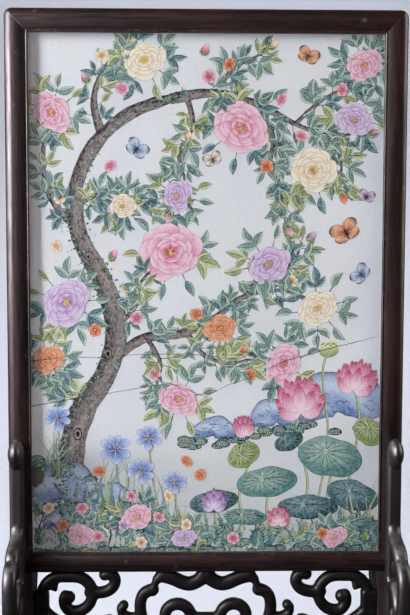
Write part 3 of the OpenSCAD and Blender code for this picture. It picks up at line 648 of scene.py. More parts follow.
# %% Carved brackets
BRACKET_X, BRACKET_THICK, FRAME_FACE, BRACKET_VOXEL, FINGER_SOFT = 189.45, 14.0, 12.0, 0.95, 3.6
FINGER = ((0.4, 140.0), (15.4, 270.0))
BACK_BAND = ((0.0, 34.0), (15.8, 147.0))
HEAD_AT, HEAD_R, HEAD_THICK = (14.4, 274.0), 14.8, BRACKET_THICK + 2.2
TOE_SILL = ((0.0, 34.0), (100.0, 42.0))
NECK = [(7.5, 216), (8, 206), (10.5, 195.5), (17, 187.8), (28, 184.4), (39.6, 182.2), (47.8, 177),
        (49.2, 168.4), (43.6, 162)]
BELLY = [(46, 171.5), (56, 170.8), (63, 166.6), (67.2, 159), (68.6, 148), (68.4, 136), (65.4, 122),
         (60, 108), (56.4, 94), (57.4, 79), (65, 64), (78, 51.4), (95, 43.4)]
INNER_SCROLL = [(9, 128), (16, 137.5), (28, 141.5), (40, 137), (46.4, 126), (43.6, 114), (34, 108.4)]
LOWER_SCROLL = [(59.5, 76), (50.5, 68), (39.6, 64), (27.6, 68.4), (22.4, 79), (26, 88.6)]
TOE_SCROLL = [(8, 62), (16.5, 51), (30, 44.6), (42, 46.6)]
BRACKET_LINES = [(NECK, 14), (BELLY, 14), (INNER_SCROLL, 11), (LOWER_SCROLL, 11), (TOE_SCROLL, 11)]
BRACKET_KNOBS = [(37.6, 165, 8), (29.4, 114.6, 7), (31.2, 88.2, 6.6), (42.4, 51.4, 6.6)]


def carve_bracket(name, side, face):
    bm = bmesh.new()
    for line, wide in BRACKET_LINES:
        sweep(bm, smooth_line(line), wide, BRACKET_THICK)
    for d, z, radius in BRACKET_KNOBS:
        knob(bm, (d, z), radius, BRACKET_THICK)
    block(bm, *FINGER, BRACKET_THICK, FINGER_SOFT)
    block(bm, *BACK_BAND, BRACKET_THICK, EDGE_SOFT)
    block(bm, *TOE_SILL, BRACKET_THICK, EDGE_SOFT)
    knob(bm, HEAD_AT, HEAD_R, HEAD_THICK)
    place = Matrix(((0, 0, MM, side * BRACKET_X * MM), (face * MM, 0, 0, face * FRAME_FACE * MM),
                    (0, MM, 0, 0), (0, 0, 0, 1)))
    bracket = fuse(name, bm, BRACKET_VOXEL, stand_wood["Z"], place)
    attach(bracket, "stand")
    return bracket


for side, side_name in ((-1, "left"), (1, "right")):
    for face, face_name in ((-1, "front"), (1, "rear")):
        bracket = carve_bracket(f"carved_{side_name}_{face_name}_bracket", side, face)
        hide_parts(f"{side_name}_{face_name}_bracket")
print("bracket faces:", len(bracket.data.polygons))

# %% [markdown]
# ## Porcelain plaque
# The plaque is a slab of porcelain, rolled flat, glazed and fired, and no such slab stays quite flat. It has
# been broken and mended: two hairline cracks run across glaze and paint alike. Cut grooves would be far too
# coarse, so a node group holds the cracks. It reads the height of each crack from a curve along X and marks a
# thin line there.

# %% Node group for the mended cracks
CRACK_LEFT, CRACK_RIGHT, CRACK_FOOT, CRACK_RISE = -180.0, 180.0, 300.0, 100.0
CRACK_CORE, CRACK_RIM, CRACK_FADE, JAG = 0.25, 0.6, 12, 0.8
CLEAN_DIRT, EXTRA_DIRT, DIRTY_FROM, DIRTY_TO = 0.4, 0.55, -172, -130
CRACK_INK = (0.030, 0.026, 0.024, 1)
CRACKS = [([(-180, 364), (-142, 369), (-110, 368), (-75, 371), (-23, 372), (10, 369), (34, 366)], 34.0),
          ([(-180, 318), (-147, 324), (-92, 333), (-37, 342), (-14, 333), (-1, 328), (24, 341), (49, 349),
            (77, 364), (124, 377), (180, 391)], 180.0)]
old_cracks, given, result = new_group("old_cracks", [("Place", VECTOR)], [("Mask", VALUE)])
spot = add_node(old_cracks, "ShaderNodeSeparateXYZ", {"Vector": given["Place"]}).outputs
jag = noise(old_cracks, given["Place"], 160.0, 3.0)
grime = noise(old_cracks, given["Place"], 38.0, 2.0)
span = {"Value": spot["X"], "From Min": CRACK_LEFT * MM, "From Max": CRACK_RIGHT * MM}
along = add_node(old_cracks, "ShaderNodeMapRange", span).outputs[0]
masks = []
for line, end in CRACKS:
    curve = add_node(old_cracks, "ShaderNodeFloatCurve", {"Value": along})
    knots = curve.mapping.curves[0].points
    width = CRACK_RIGHT - CRACK_LEFT
    shares = [((x - CRACK_LEFT) / width, (z - CRACK_FOOT) / CRACK_RISE) for x, z in line]
    for share in shares[1:-1]:
        knots.new(*share)
    for knot, share in zip(knots, shares):
        knot.location = share
        knot.handle_type = "VECTOR"
    curve.mapping.update()
    height = math_node(old_cracks, "MULTIPLY_ADD", curve.outputs[0], CRACK_RISE * MM, CRACK_FOOT * MM)
    height = plus(old_cracks, height, math_node(old_cracks, "MULTIPLY_ADD", jag, 2 * JAG * MM, -JAG * MM))
    off = math_node(old_cracks, "ABSOLUTE", minus(old_cracks, spot["Z"], height))
    line_mask = step_down(old_cracks, off, CRACK_CORE * MM, CRACK_RIM * MM)
    stop = step_down(old_cracks, spot["X"], (end - CRACK_FADE) * MM, end * MM)
    masks.append(times(old_cracks, line_mask, stop))
dirt = math_node(old_cracks, "MULTIPLY_ADD", step_up(old_cracks, grime, 0.35, 0.65), EXTRA_DIRT, CLEAN_DIRT)
dirty_end = step_down(old_cracks, spot["X"], DIRTY_FROM * MM, DIRTY_TO * MM)
dirt = math_node(old_cracks, "MAXIMUM", dirt, dirty_end)
crack = math_node(old_cracks, "MAXIMUM", *masks)
old_cracks.links.new(times(old_cracks, crack, dirt), result["Mask"])


def cracked(tree, place, colour):
    return mix_colour(tree, use_group(tree, old_cracks, {"Place": place})["Mask"], colour, CRACK_INK)


print("group", old_cracks.name, "nodes:", len(old_cracks.nodes))

# %% [markdown]
# The glaze is a cool white with faint cream streaks where it ran, pinholes with a speck of ash, and a
# grey-green wash over the painted ground at the foot that darkens towards the bottom, partly painted shade.
# The slab is a grid that sags by a quarter of a millimetre, with its back drawn out to the full thickness.

# %% Glazed slab
GLAZE_COOL, GLAZE_PALE = (0.75, 0.752, 0.766, 1), (0.81, 0.811, 0.82, 1)
GLAZE_CREAM, GLAZE_GREY = (0.80, 0.782, 0.755, 1), (0.54, 0.545, 0.55, 1)
GROUND_WASH_AND_SHADE, ASH = (0.41, 0.43, 0.385, 1), (0.12, 0.11, 0.10, 1)
CREAM_SHARE, GREY_SHARE, WASH_SHARE = 0.75, 0.32, 0.6
RUN_STRETCH, WASH_DRIFT, WASH_LOW, WASH_HIGH = (1, 1, 0.16), 90, 215, 390
glaze, tree, shader = new_material("white_glaze")
place = object_place(tree)
runs = add_node(tree, "ShaderNodeMapping", {"Vector": place, "Scale": RUN_STRETCH}).outputs[0]
streaks = noise(tree, runs, 34.0, 4.0, Roughness=0.55)
clouds = noise(tree, place, 11.0, 5.0)
mottle = noise(tree, place, 330.0, 3.0, Roughness=0.7)
tone = mix_colour(tree, step_up(tree, clouds, 0.3, 0.7), GLAZE_COOL, GLAZE_PALE)
tone = mix_colour(tree, times(tree, step_up(tree, streaks, 0.5, 0.72), CREAM_SHARE), tone, GLAZE_CREAM)
tone = mix_colour(tree, times(tree, step_up(tree, mottle, 0.45, 0.75), GREY_SHARE), tone, GLAZE_GREY)
# A ground wash and painted shade at once: the glaze turns darker and grey-green towards the foot.
foot = add_node(tree, "ShaderNodeSeparateXYZ", {"Vector": place}).outputs["Z"]
foot = plus(tree, foot, times(tree, clouds, WASH_DRIFT * MM))
wash = step_down(tree, foot, WASH_LOW * MM, WASH_HIGH * MM)
tone = mix_colour(tree, times(tree, wash, WASH_SHARE), tone, GROUND_WASH_AND_SHADE)
pin = step_down(tree, cells(tree, place, 52.0), 0.03, 0.055)
tone = mix_colour(tree, times(tree, pin, step_up(tree, mottle, 0.5, 0.6)), tone, ASH)
tree.links.new(cracked(tree, place, tone), shader.inputs["Base Color"])
tree.links.new(math_node(tree, "MULTIPLY_ADD", mottle, 0.2, 0.2), shader.inputs["Roughness"])
shader.inputs["Coat Weight"].default_value = 0.25
shader.inputs["Coat Roughness"].default_value = 0.15
relief(tree, shader, mottle, 0.2, 0.1)

slab_low, slab_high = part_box("porcelain_plaque")
SURFACE, SAG = slab_low[1], 0.12 * MM


def on_glaze(x, z, lift=0.0):
    """A spot of the glaze in metres, from millimetres; lift raises it towards the viewer."""
    sag = SAG * (1 + math.sin(x / 47 + 1.3) * math.cos(z / 61))
    return x * MM, SURFACE + sag - lift * MM, z * MM


bm = bmesh.new()
for v in bmesh.ops.create_grid(bm, x_segments=36, y_segments=54, size=0.5)["verts"]:
    x = slab_low[0] + (v.co.x + 0.5) * (slab_high[0] - slab_low[0])
    z = slab_low[2] + (v.co.y + 0.5) * (slab_high[2] - slab_low[2])
    v.co = on_glaze(x / MM, z / MM)
for v in verts_of(bmesh.ops.extrude_face_region(bm, geom=bm.faces[:])["geom"]):
    v.co.y = slab_high[1]
bmesh.ops.recalc_face_normals(bm, faces=bm.faces)
slab = link_mesh("glazed_plaque", bm, glaze)
slab.data.set_sharp_from_angle(angle=math.radians(40))
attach(slab, "screen")
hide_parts("porcelain_plaque")
print("slab faces:", len(slab.data.polygons))

# %% [markdown]
# At the left edge a chip in the rim was filled with putty and never painted in. It is a low lump: a disc with
# its outline drawn in by a wave, higher in the middle than at the rim.

# %% Putty in the chipped rim
PUTTY_DARK, PUTTY_PALE = (0.045, 0.042, 0.026, 1), (0.13, 0.12, 0.085, 1)
PATCH_AT, PATCH_HALF, PATCH_RISE, RIM_SHARE, PATCH_THICK = (-172.5, 246.5), (8.0, 10.5), 1.1, 0.55, 1.4
putty, tree, shader = new_material("old_putty")
crumbs = noise(tree, object_place(tree), 620.0, 4.0)
tree.links.new(mix_colour(tree, crumbs, PUTTY_DARK, PUTTY_PALE), shader.inputs["Base Color"])
shader.inputs["Roughness"].default_value = 0.75
relief(tree, shader, crumbs, 0.5, 0.3)
bm = bmesh.new()
for v in bmesh.ops.create_circle(bm, cap_ends=True, cap_tris=True, segments=28, radius=1.0)["verts"]:
    angle = math.atan2(v.co.y, v.co.x)
    reach = v.co.length * (1 + 0.07 * math.sin(3 * angle + 1) + 0.05 * math.sin(7 * angle))
    x = PATCH_AT[0] + PATCH_HALF[0] * reach * math.cos(angle)
    z = PATCH_AT[1] + PATCH_HALF[1] * reach * math.sin(angle)
    v.co = on_glaze(x, z, PATCH_RISE * (1.0 if v.co.length < 0.5 else RIM_SHARE))
bmesh.ops.subdivide_edges(bm, edges=bm.edges[:], cuts=2, use_grid_fill=True)
grown = bmesh.ops.extrude_face_region(bm, geom=bm.faces[:])["geom"]
bmesh.ops.translate(bm, verts=verts_of(grown), vec=(0, PATCH_THICK * MM, 0))
bmesh.ops.recalc_face_normals(bm, faces=bm.faces)
patch = link_mesh("putty_patch", bm, putty)
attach(patch, "screen")
print("putty faces:", len(patch.data.polygons))

# %% [markdown]
# ## Enamel painting
# Enamels are ground glass, laid on the glaze in thin raised patches with fine ink lines and fired again.
# The picture could be a texture, but real enamel stands up from the glaze and has its own gloss, so every
# petal, leaf and line is a thin piece of geometry with its colour in an attribute. The design is a common
# garden one: a flowering tree, a lotus pond, irises and butterflies.
# One tool paints nearly all of it: a grid is laid along a line and its width follows a shape.

# %% Brush tools
brush = random.Random(11)
UP, CENTRE, INK_DEPTH = math.pi / 2, (0, 0), 0.012


def tint(red, green, blue):
    return tuple((c / 255) ** 2.2 for c in (red, green, blue))


def palette(**colours):
    return {part: tint(*colour) for part, colour in colours.items()}


def flat(colour):
    return lambda t, s: colour


def between(first, second, share):
    share = min(max(share, 0.0), 1.0)
    return tuple(a + (b - a) * share for a, b in zip(first, second))


def new_sheet():
    bm = bmesh.new()
    bm.verts.layers.float_color.new("paint")
    return bm


def dry(bm, pile):
    mesh = bpy.data.meshes.new("motif")
    bm.to_mesh(mesh)
    bm.free()
    pile.append(mesh)


def stations(line, rows):
    knots = [Vector(p) for p in line]
    reach = [0.0]
    for a, b in zip(knots, knots[1:]):
        reach.append(reach[-1] + (b - a).length)
    spots, i = [], 0
    for k in range(rows + 1):
        share = (1 - math.cos(math.pi * k / rows)) / 2
        while i < len(knots) - 2 and reach[i + 1] < share * reach[-1]:
            i += 1
        gap = reach[i + 1] - reach[i]
        spots.append((share, knots[i].lerp(knots[i + 1], (share * reach[-1] - reach[i]) / gap)))
    track = []
    for k, (share, spot) in enumerate(spots):
        along = (spots[min(k + 1, rows)][1] - spots[max(k - 1, 0)][1]).normalized()
        track.append((share, spot, Vector((-along.y, along.x))))
    return track


def blade(bm, line, wide, paint, shape, rows=8, cols=2, lift=0.1, place=None):
    """Lays a grid along a line; t runs from root to tip, and s from side to side."""
    layer = bm.verts.layers.float_color["paint"]
    track = stations(line, rows)
    for v in bmesh.ops.create_grid(bm, x_segments=rows, y_segments=cols, size=1.0)["verts"]:
        s = v.co.y
        share, spot, side = track[round((v.co.x + 1) / 2 * rows)]
        spot = spot + side * (s * wide / 2 * shape(share))
        spot = place(spot) if place else spot
        v.co = on_glaze(spot.x, spot.y, lift)
        v[layer] = (*paint(share, s), 1)


def inked(bm, line, wide, paint, shape, ink, pen=0.35, rows=8, cols=2, lift=0.1, place=None):
    """A blade with a slightly larger one in ink under it, which shows as an outline."""
    end = Vector(line[-1])
    ahead = (end - Vector(line[-2])).normalized() * pen
    blade(bm, [*line[:-1], end + ahead], wide + 2 * pen, flat(ink), shape, rows, 1, lift - INK_DEPTH, place)
    blade(bm, line, wide, paint, shape, rows, cols, lift, place)


def pen_line(bm, line, wide, colour, lift, rows=4, place=None, taper=0.25):
    def shape(t):
        return taper + (1 - taper) * math.sin(math.pi * t) ** 0.6

    blade(bm, line, wide, flat(colour), shape, rows, 1, lift, place)


def dab(bm, at, radius, colour, lift, sides=7):
    layer = bm.verts.layers.float_color["paint"]
    disc = bmesh.ops.create_circle(bm, cap_ends=True, cap_tris=True, segments=sides, radius=radius)
    for v in disc["verts"]:
        v.co = on_glaze(v.co.x + at[0], v.co.y + at[1], lift)
        v[layer] = (*colour, 1)


def leaf_shape(t):
    return math.sin(math.pi * t ** 0.8) ** 0.9


def petal_shape(t, widest=0.62, root=0.22):
    if t < widest:
        return root + (1 - root) * math.sin(math.pi / 2 * t / widest)
    return math.sqrt(max(0.0, 1 - ((t - widest) / (1 - widest)) ** 2))


def oval_shape(t):
    return math.sqrt(max(0.0, 1 - (2 * t - 1) ** 2))


def polar(at, angle, reach):
    return Vector((at[0] + math.cos(angle) * reach, at[1] + math.sin(angle) * reach))


def bowed(start, end, bow):
    start, end = Vector(start), Vector(end)
    run = end - start
    return smooth_line([start, (start + end) / 2 + Vector((-run.y, run.x)) * bow, end], 4)


def tilted(at, turn, squash):
    """Places a flower drawn around the origin, turned and seen at a slant."""
    cos, sin = math.cos(turn), math.sin(turn)
    return lambda p: Vector((at[0] + p.x * cos - p.y * squash * sin, at[1] + p.x * sin + p.y * squash * cos))


LEAF_BLUE = palette(light=(198, 216, 196), dark=(80, 130, 126), vein=(22, 46, 52), ink=(24, 36, 42))
LEAF_YELLOW = palette(light=(222, 222, 170), dark=(138, 158, 94), vein=(44, 60, 36), ink=(38, 48, 34))
LEAF_TEAL = palette(light=(160, 194, 190), dark=(42, 86, 94), vein=(14, 34, 44), ink=(18, 30, 38))
PINK = palette(deep=(184, 48, 94), mid=(222, 116, 152), pale=(248, 214, 225), ink=(138, 46, 82))
LILAC = palette(deep=(126, 62, 138), mid=(180, 132, 188), pale=(234, 214, 236), ink=(92, 54, 108))
BLUE = palette(deep=(50, 76, 160), mid=(112, 142, 206), pale=(208, 220, 240), ink=(40, 54, 108))
CREAM = palette(deep=(208, 140, 92), mid=(238, 208, 164), pale=(251, 243, 224), ink=(148, 98, 72))
CORAL = palette(deep=(176, 48, 24), mid=(216, 96, 54), pale=(243, 182, 140), ink=(118, 34, 24))
BARK = palette(dark=(44, 38, 42), mid=(92, 82, 80), light=(158, 146, 138), ink=(28, 25, 30))
YELLOW, INK = tint(232, 196, 92), tint(44, 40, 48)
print("brush tools ready")

# %% [markdown]
# A leaf has one pale and one deep half, a midrib and side veins in ink. A spray sets leaves on both sides of
# a twig, each with its own tilt, so that no two sprays look stamped.

# %% Leaves and twigs
def leaf(bm, at, heading, size, tones, lift):
    end = polar(at, heading, size)
    line = bowed(at, end, brush.uniform(-0.16, 0.16))
    flip = brush.choice((-1, 1))

    def paint(t, s):
        half = tones["dark"] if s * flip > 0.05 else tones["light"]
        return between(half, tones["dark"], 0.55 * (1 - t) * (1 - abs(s)))

    wide = size * brush.uniform(0.36, 0.48)
    inked(bm, line, wide, paint, leaf_shape, tones["ink"], 0.3, 8, 2, lift)
    pen_line(bm, line, 0.7, tones["vein"], lift + 0.01, 4)
    for share in (0.2, 0.36, 0.52, 0.68):
        root = Vector(line[round(share * (len(line) - 1))])
        for side in (-1, 1):
            tip = polar(root, heading + side * 0.7, wide * 0.5 * leaf_shape(share + 0.12))
            pen_line(bm, [root, tip], 0.5, tones["vein"], lift + 0.01, 1, taper=0.8)


def cluster(bm, at, heading, size, tones, lift, count=3):
    """A stalk with one leaf at its end and pairs beside it."""
    tip = polar(at, heading, size * 0.7)
    pen_line(bm, [at, tip], 0.7, tones["ink"], lift - 0.02, 3, taper=0.7)
    for k in range(count):
        share = 1.0 - 0.3 * ((k + 1) // 2)
        turn = 0.0 if k == 0 else (0.95 if k % 2 else -0.95) + brush.uniform(-0.2, 0.2)
        root = polar(at, heading, size * 0.7 * share)
        layer = lift + 0.02 * ((count - k) % 3)
        leaf(bm, root, heading + turn, size * brush.uniform(0.8, 1.1), tones, layer)


def spray(pile, line, count, size, tones, lift=0.12, start=0.12):
    bm = new_sheet()
    knots = [Vector(p) for p in smooth_line(line, 6)]
    for k in range(count):
        share = start + (1 - start) * (k + brush.uniform(0.1, 0.9)) / count
        i = min(int(share * (len(knots) - 1)), len(knots) - 2)
        along = knots[i + 1] - knots[i]
        heading = math.atan2(along.y, along.x) + (1 if k % 2 else -1) * brush.uniform(0.5, 1.25)
        at = knots[i].lerp(knots[i + 1], brush.random())
        cluster(bm, at, heading, size * brush.uniform(0.8, 1.15), brush.choice(tones), lift + 0.06 * (k % 3),
                brush.choice((1, 3, 3, 5)))
    dry(bm, pile)


def limb(pile, line, wide, end_wide, strokes, lift=0.06, rows=None):
    """A knotty bough or trunk with short strokes of bark."""
    bm = new_sheet()
    line = smooth_line(line, 6)
    rows = rows or max(8, len(line))
    wobble = [brush.uniform(0.84, 1.16) for _ in range(rows + 2)]

    def shape(t):
        place = t * rows
        k = int(place)
        knot = wobble[k] + (wobble[k + 1] - wobble[k]) * (place - k)
        return (1 + (end_wide / wide - 1) * t) * knot

    def paint(t, s):
        round_side = between(BARK["light"], BARK["dark"], (s + 0.35) ** 2 * 1.1)
        return between(round_side, BARK["mid"], 0.35 + 0.3 * math.sin(37 * t + 5 * s))

    inked(bm, line, wide, paint, shape, BARK["ink"], 0.4, rows, 6, lift)
    track = stations(line, 60)
    for _ in range(strokes):
        share, spot, side = track[brush.randrange(2, 58)]
        half = wide / 2 * shape(share) * 0.86
        root = spot + side * brush.uniform(-half, half)
        along = Vector((side.y, -side.x))
        tip = root + along * brush.uniform(2.5, 8) * brush.choice((-1, 1)) + side * brush.uniform(-1.6, 1.6)
        shade = brush.choice((BARK["dark"], BARK["ink"], BARK["light"], BARK["dark"]))
        stroke = bowed(root, tip, brush.uniform(-0.25, 0.25))
        pen_line(bm, stroke, brush.uniform(0.4, 0.9), shade, lift + INK_DEPTH, 3)
    dry(bm, pile)


def moss(pile, line, count, spread, colours, size=1.1, lift=0.16):
    bm = new_sheet()
    track = stations(smooth_line(line, 6), 80)
    for k in range(count):
        _, spot, side = track[brush.randrange(0, 81)]
        at = spot + side * brush.gauss(0, spread) + Vector((brush.gauss(0, spread * 0.6), 0))
        dab(bm, at, size * brush.uniform(0.55, 1.2), brush.choice(colours), lift + 0.006 * (k % 5), 6)
    dry(bm, pile)


print("leaf and twig tools ready")

# %% [markdown]
# Flowers are rings of petals, deep at the root and pale at the rim, laid from the outside in so that each
# overlaps the one before. A slant turns a flower that faces us into one that looks aside.

# %% Flowers
def petal_paint(tones, streak=0.12):
    def paint(t, s):
        body = between(tones["deep"], tones["mid"], t * 2.4) if t < 0.42 else between(
            tones["mid"], tones["pale"], (t - 0.42) * 1.9)
        return between(body, tones["deep"], streak * (0.5 + 0.5 * math.cos(9 * s)) * (1 - t))
    return paint


PETAL_RINGS, PETAL_BROAD = ((9, 1.0), (8, 0.8), (7, 0.58), (5, 0.36)), 0.95
CUP_ROWS = ((5, 0.62, 1.0), (6, 0.9, 0.92), (5, 1.15, 0.74), (3, 0.5, 0.66))


def rosette(pile, at, size, tones, turn, squash, lift=0.2):
    """A full flower: rings of ruffled petals around a yellow heart."""
    bm = new_sheet()
    place = tilted(at, turn, squash)
    radius = size / 2
    for count, reach in PETAL_RINGS:
        for k in range(count):
            angle = 2 * math.pi * (k + brush.uniform(-0.18, 0.18)) / count + reach * 2.1
            far = radius * reach * brush.uniform(0.88, 1.08)
            root, tip = polar(CENTRE, angle, far * 0.12), polar(CENTRE, angle, far)
            line = bowed(root, tip, brush.uniform(-0.12, 0.12))
            ruffle, phase = brush.uniform(0.03, 0.09), brush.uniform(0, 6)
            shape = lambda t, r=ruffle, p=phase: petal_shape(t) * (1 + r * math.sin(17 * t + p))
            wide = PETAL_BROAD * far * 2 * math.sin(math.pi / count) * 1.25
            inked(bm, line, wide, petal_paint(tones), shape, tones["ink"], 0.22, 8, 4, lift, place)
            for share in (-0.45, 0.0, 0.45):
                vein = [polar(CENTRE, angle + share * 0.25, far * r) for r in (0.3, 0.55, 0.8)]
                pen_line(bm, vein, 0.3, between(tones["ink"], tones["mid"], 0.45), lift + 0.008, 2, place)
            lift += 0.02
    for _ in range(16):
        spot = place(polar(CENTRE, brush.uniform(0, 6.28), radius * 0.15 * math.sqrt(brush.random())))
        dab(bm, spot, size * 0.014 + 0.3, YELLOW, lift, 6)
    dry(bm, pile)


def cup(pile, at, size, tones, heading, lift, open_angle):
    """A flower seen from the side: a fan of pointed petals, the back ones first."""
    bm = new_sheet()

    def pointed(t):
        return math.sin(math.pi * t ** 0.72) ** 0.75

    def paint(t, s):
        body = between(tones["pale"], tones["mid"], (t - 0.25) * 1.5)
        return between(body, tones["deep"], (t - 0.72) * 2.6 + 0.12 * math.cos(11 * s))

    for count, spread, reach in CUP_ROWS:
        for k in sorted(range(count), key=lambda n: -abs(n - (count - 1) / 2)):
            lean = (k - (count - 1) / 2) / ((count - 1) / 2) * open_angle * spread
            far = size * reach * (1 - 0.16 * abs(lean)) * brush.uniform(0.94, 1.05)
            line = bowed(at, polar(at, heading - lean, far), -0.22 * lean)
            inked(bm, line, size * 0.34, paint, pointed, tones["ink"], 0.24, 9, 4, lift)
            for share in (-0.5, 0.0, 0.5):
                root = polar(at, heading - lean, far * 0.3)
                tip = polar(at, heading - lean + share * 0.22, far * 0.82)
                vein = bowed(root, tip, -0.2 * lean)
                pen_line(bm, vein, 0.28, between(tones["ink"], tones["pale"], 0.4), lift + 0.008, 3)
            lift += 0.022
    dry(bm, pile)


def blossom(pile, at, size, tones, turn, lift=0.24, count=5):
    """A small blossom of five or six round petals with a ring of stamens."""
    bm = new_sheet()
    place = tilted(at, turn, brush.uniform(0.7, 1.0))
    for k in range(count):
        angle = 2 * math.pi * k / count
        line = [polar(CENTRE, angle, size * r) for r in (0.06, 0.3, 0.5)]
        inked(bm, line, size * 0.44, petal_paint(tones, 0.2), petal_shape, tones["ink"], 0.22, 6, 2,
              lift + 0.014 * k, place)
    for k in range(8):
        angle = 2 * math.pi * k / 8 + 0.3
        stamen = [polar(CENTRE, angle, size * r) for r in (0.04, 0.2)]
        pen_line(bm, stamen, 0.3, tones["ink"], lift + 0.09, 1, place)
        dab(bm, place(polar(CENTRE, angle, size * 0.21)), 0.5, YELLOW, lift + 0.1, 5)
    dry(bm, pile)


def bud(pile, at, size, tones, heading, lift=0.2):
    bm = new_sheet()
    for lean, reach in ((-0.3, 0.86), (0.3, 0.86), (0.0, 1.0)):
        line = bowed(at, polar(at, heading + lean * 0.6, size * reach), -0.2 * lean)
        inked(bm, line, size * 0.5, petal_paint(tones), leaf_shape, tones["ink"], 0.22, 6, 2, lift)
        lift += 0.02
    leaf(bm, at, heading + 0.5, size * 0.6, LEAF_YELLOW, lift)
    leaf(bm, at, heading - 0.5, size * 0.6, LEAF_YELLOW, lift + 0.02)
    dry(bm, pile)


print("flower tools ready")

# %% [markdown]
# The tree grows from the bank at the left, leans out and arches over the top. The boughs come first, then the
# trunk over them with its knots and moss, then leaves, and the flowers last, as a painter lays them.

# %% Flowering tree
tree_pile, leaf_pile, flower_pile = [], [], []
TRUNK = [(-128, 214), (-137, 262), (-126, 312), (-101, 352), (-90, 398), (-104, 446), (-127, 490),
         (-131, 536), (-112, 580), (-76, 612), (-30, 628)]
KNOTS = [((-130, 290), 9), ((-99, 372), 8), ((-118, 470), 7), ((-126, 546), 6)]
KNOT_RINGS = [(1.0, BARK["ink"]), (0.74, BARK["light"]), (0.45, BARK["dark"]), (0.2, BARK["ink"])]
MOSS_TONES = [tint(70, 122, 116), tint(112, 158, 142), tint(44, 84, 88), tint(150, 182, 140)]
BOUGHS = [([(-36, 626), (6, 632), (48, 622), (88, 602), (122, 590), (150, 594)], 10, 2.2),
          ([(-96, 366), (-62, 388), (-26, 392), (8, 408), (38, 430), (76, 436), (108, 424)], 11, 2.0),
          ([(-128, 500), (-150, 520), (-162, 556), (-160, 596)], 9, 2.0),
          ([(-104, 590), (-112, 626), (-98, 660), (-72, 676)], 8, 1.8),
          ([(52, 620), (66, 590), (64, 560), (80, 532), (78, 506)], 5, 1.2),
          ([(-20, 628), (-14, 600), (-28, 572), (-22, 544), (-34, 520)], 5, 1.2),
          ([(10, 632), (26, 656), (54, 670)], 5, 1.2),
          ([(-20, 394), (-4, 372), (22, 362), (48, 366), (70, 356)], 5, 1.2),
          ([(-120, 322), (-146, 336), (-162, 362)], 7, 1.6),
          ([(118, 592), (134, 566), (132, 540)], 3.5, 1.0),
          ([(-92, 400), (-72, 418), (-66, 444), (-48, 462)], 5, 1.4),
          ([(-60, 388), (-46, 362), (-50, 336), (-34, 318)], 4.5, 1.2),
          ([(88, 602), (112, 624), (140, 640), (164, 664)], 4, 1.2),
          ([(38, 430), (56, 450), (84, 462), (96, 484)], 4, 1.2),
          ([(-130, 520), (-104, 532), (-82, 520)], 4, 1.2)]
for bough, wide, end in BOUGHS:
    limb(tree_pile, bough, wide, end, strokes=round(wide * 5))
limb(tree_pile, TRUNK, 28, 10, lift=0.085, strokes=760, rows=44)
for (x, z), size in KNOTS:
    bm = new_sheet()
    for ring, shade in KNOT_RINGS:
        line = [(x - size * ring * 0.5, z), (x, z), (x + size * ring * 0.5, z)]
        blade(bm, line, size * ring * 1.5, flat(shade), oval_shape, 8, 2, 0.11 + 0.01 * (1 - ring))
    dry(bm, tree_pile)
moss(tree_pile, [(p[0] - 10, p[1]) for p in TRUNK[:8]], 320, 2.4, MOSS_TONES)
moss(tree_pile, [(p[0] + 9, p[1] + 4) for p in TRUNK[3:]], 200, 1.8, MOSS_TONES)
print("tree motifs:", len(tree_pile))

# %% [markdown]
# Leaves come as sprays along every bough and as a collar behind each large flower; buds and small blossoms
# fill what is left. Every motif gets its own small mesh, because an operator on one large mesh slows with its
# size.

# %% Leaves and flowers of the tree
GREENS = [LEAF_BLUE, LEAF_YELLOW, LEAF_TEAL, LEAF_BLUE]
BIG_FLOWERS = [
    ((-36, 474), 62, PINK, 0.3, 0.9), ((34, 598), 58, PINK, -0.5, 0.8), ((-140, 424), 52, LILAC, 0.8, 0.85),
    ((-62, 664), 46, CREAM, 0.1, 0.8), ((62, 462), 46, LILAC, 0.6, 0.8), ((-154, 612), 44, PINK, -0.9, 0.75),
    ((106, 556), 50, CREAM, 0.2, 0.85), ((-30, 530), 36, LILAC, 1.2, 0.8), ((146, 606), 40, LILAC, -0.3, 0.8),
    ((78, 362), 44, PINK, 0.9, 0.8), ((-160, 366), 36, CORAL, 0.4, 0.8), ((-28, 326), 42, PINK, -0.4, 0.8),
    ((112, 418), 44, CREAM, 0.4, 0.8), ((-84, 520), 30, CREAM, 0.0, 0.8), ((156, 660), 36, PINK, 0.5, 0.8),
    ((14, 398), 34, CORAL, 0.2, 0.8)]
BUDS = [((-4, 668), PINK, 1.2), ((60, 676), CREAM, 0.6), ((78, 502), PINK, -0.9), ((136, 536), CORAL, -1.4),
        ((-36, 516), PINK, -1.9), ((100, 486), LILAC, 0.7), ((-164, 600), PINK, 1.7), ((160, 592), PINK, 0.2),
        ((-98, 466), PINK, 0.9), ((30, 372), CORAL, 0.6), ((-118, 640), PINK, 1.9)]
BLOSSOMS = [(-84, 636), (-96, 560), (-70, 408), (-112, 396), (2, 648), (74, 626), (-10, 412), (-146, 528),
            (-104, 668), (94, 590), (-52, 352), (44, 350), (134, 636), (86, 446), (-150, 480), (22, 660),
            (-22, 592), (60, 560)]
COLLAR_LEAVES, BUD_SIZE, BLOSSOM_SIZE = 9, 14, 14
for bough, *_ in BOUGHS:
    spray(leaf_pile, bough, round(6 + 2.1 * len(bough)), 15, GREENS)
for at, size, tones, turn, squash in BIG_FLOWERS:
    bm = new_sheet()
    for k in range(COLLAR_LEAVES):
        heading = turn + 2 * math.pi * (k + brush.uniform(-0.25, 0.25)) / COLLAR_LEAVES
        cluster(bm, polar(at, heading, size * 0.3), heading, 14 + size * 0.08, brush.choice(GREENS),
                0.14 + 0.03 * (k % 3), brush.choice((1, 3, 3)))
    dry(bm, leaf_pile)
    rosette(flower_pile, at, size, tones, turn, squash)
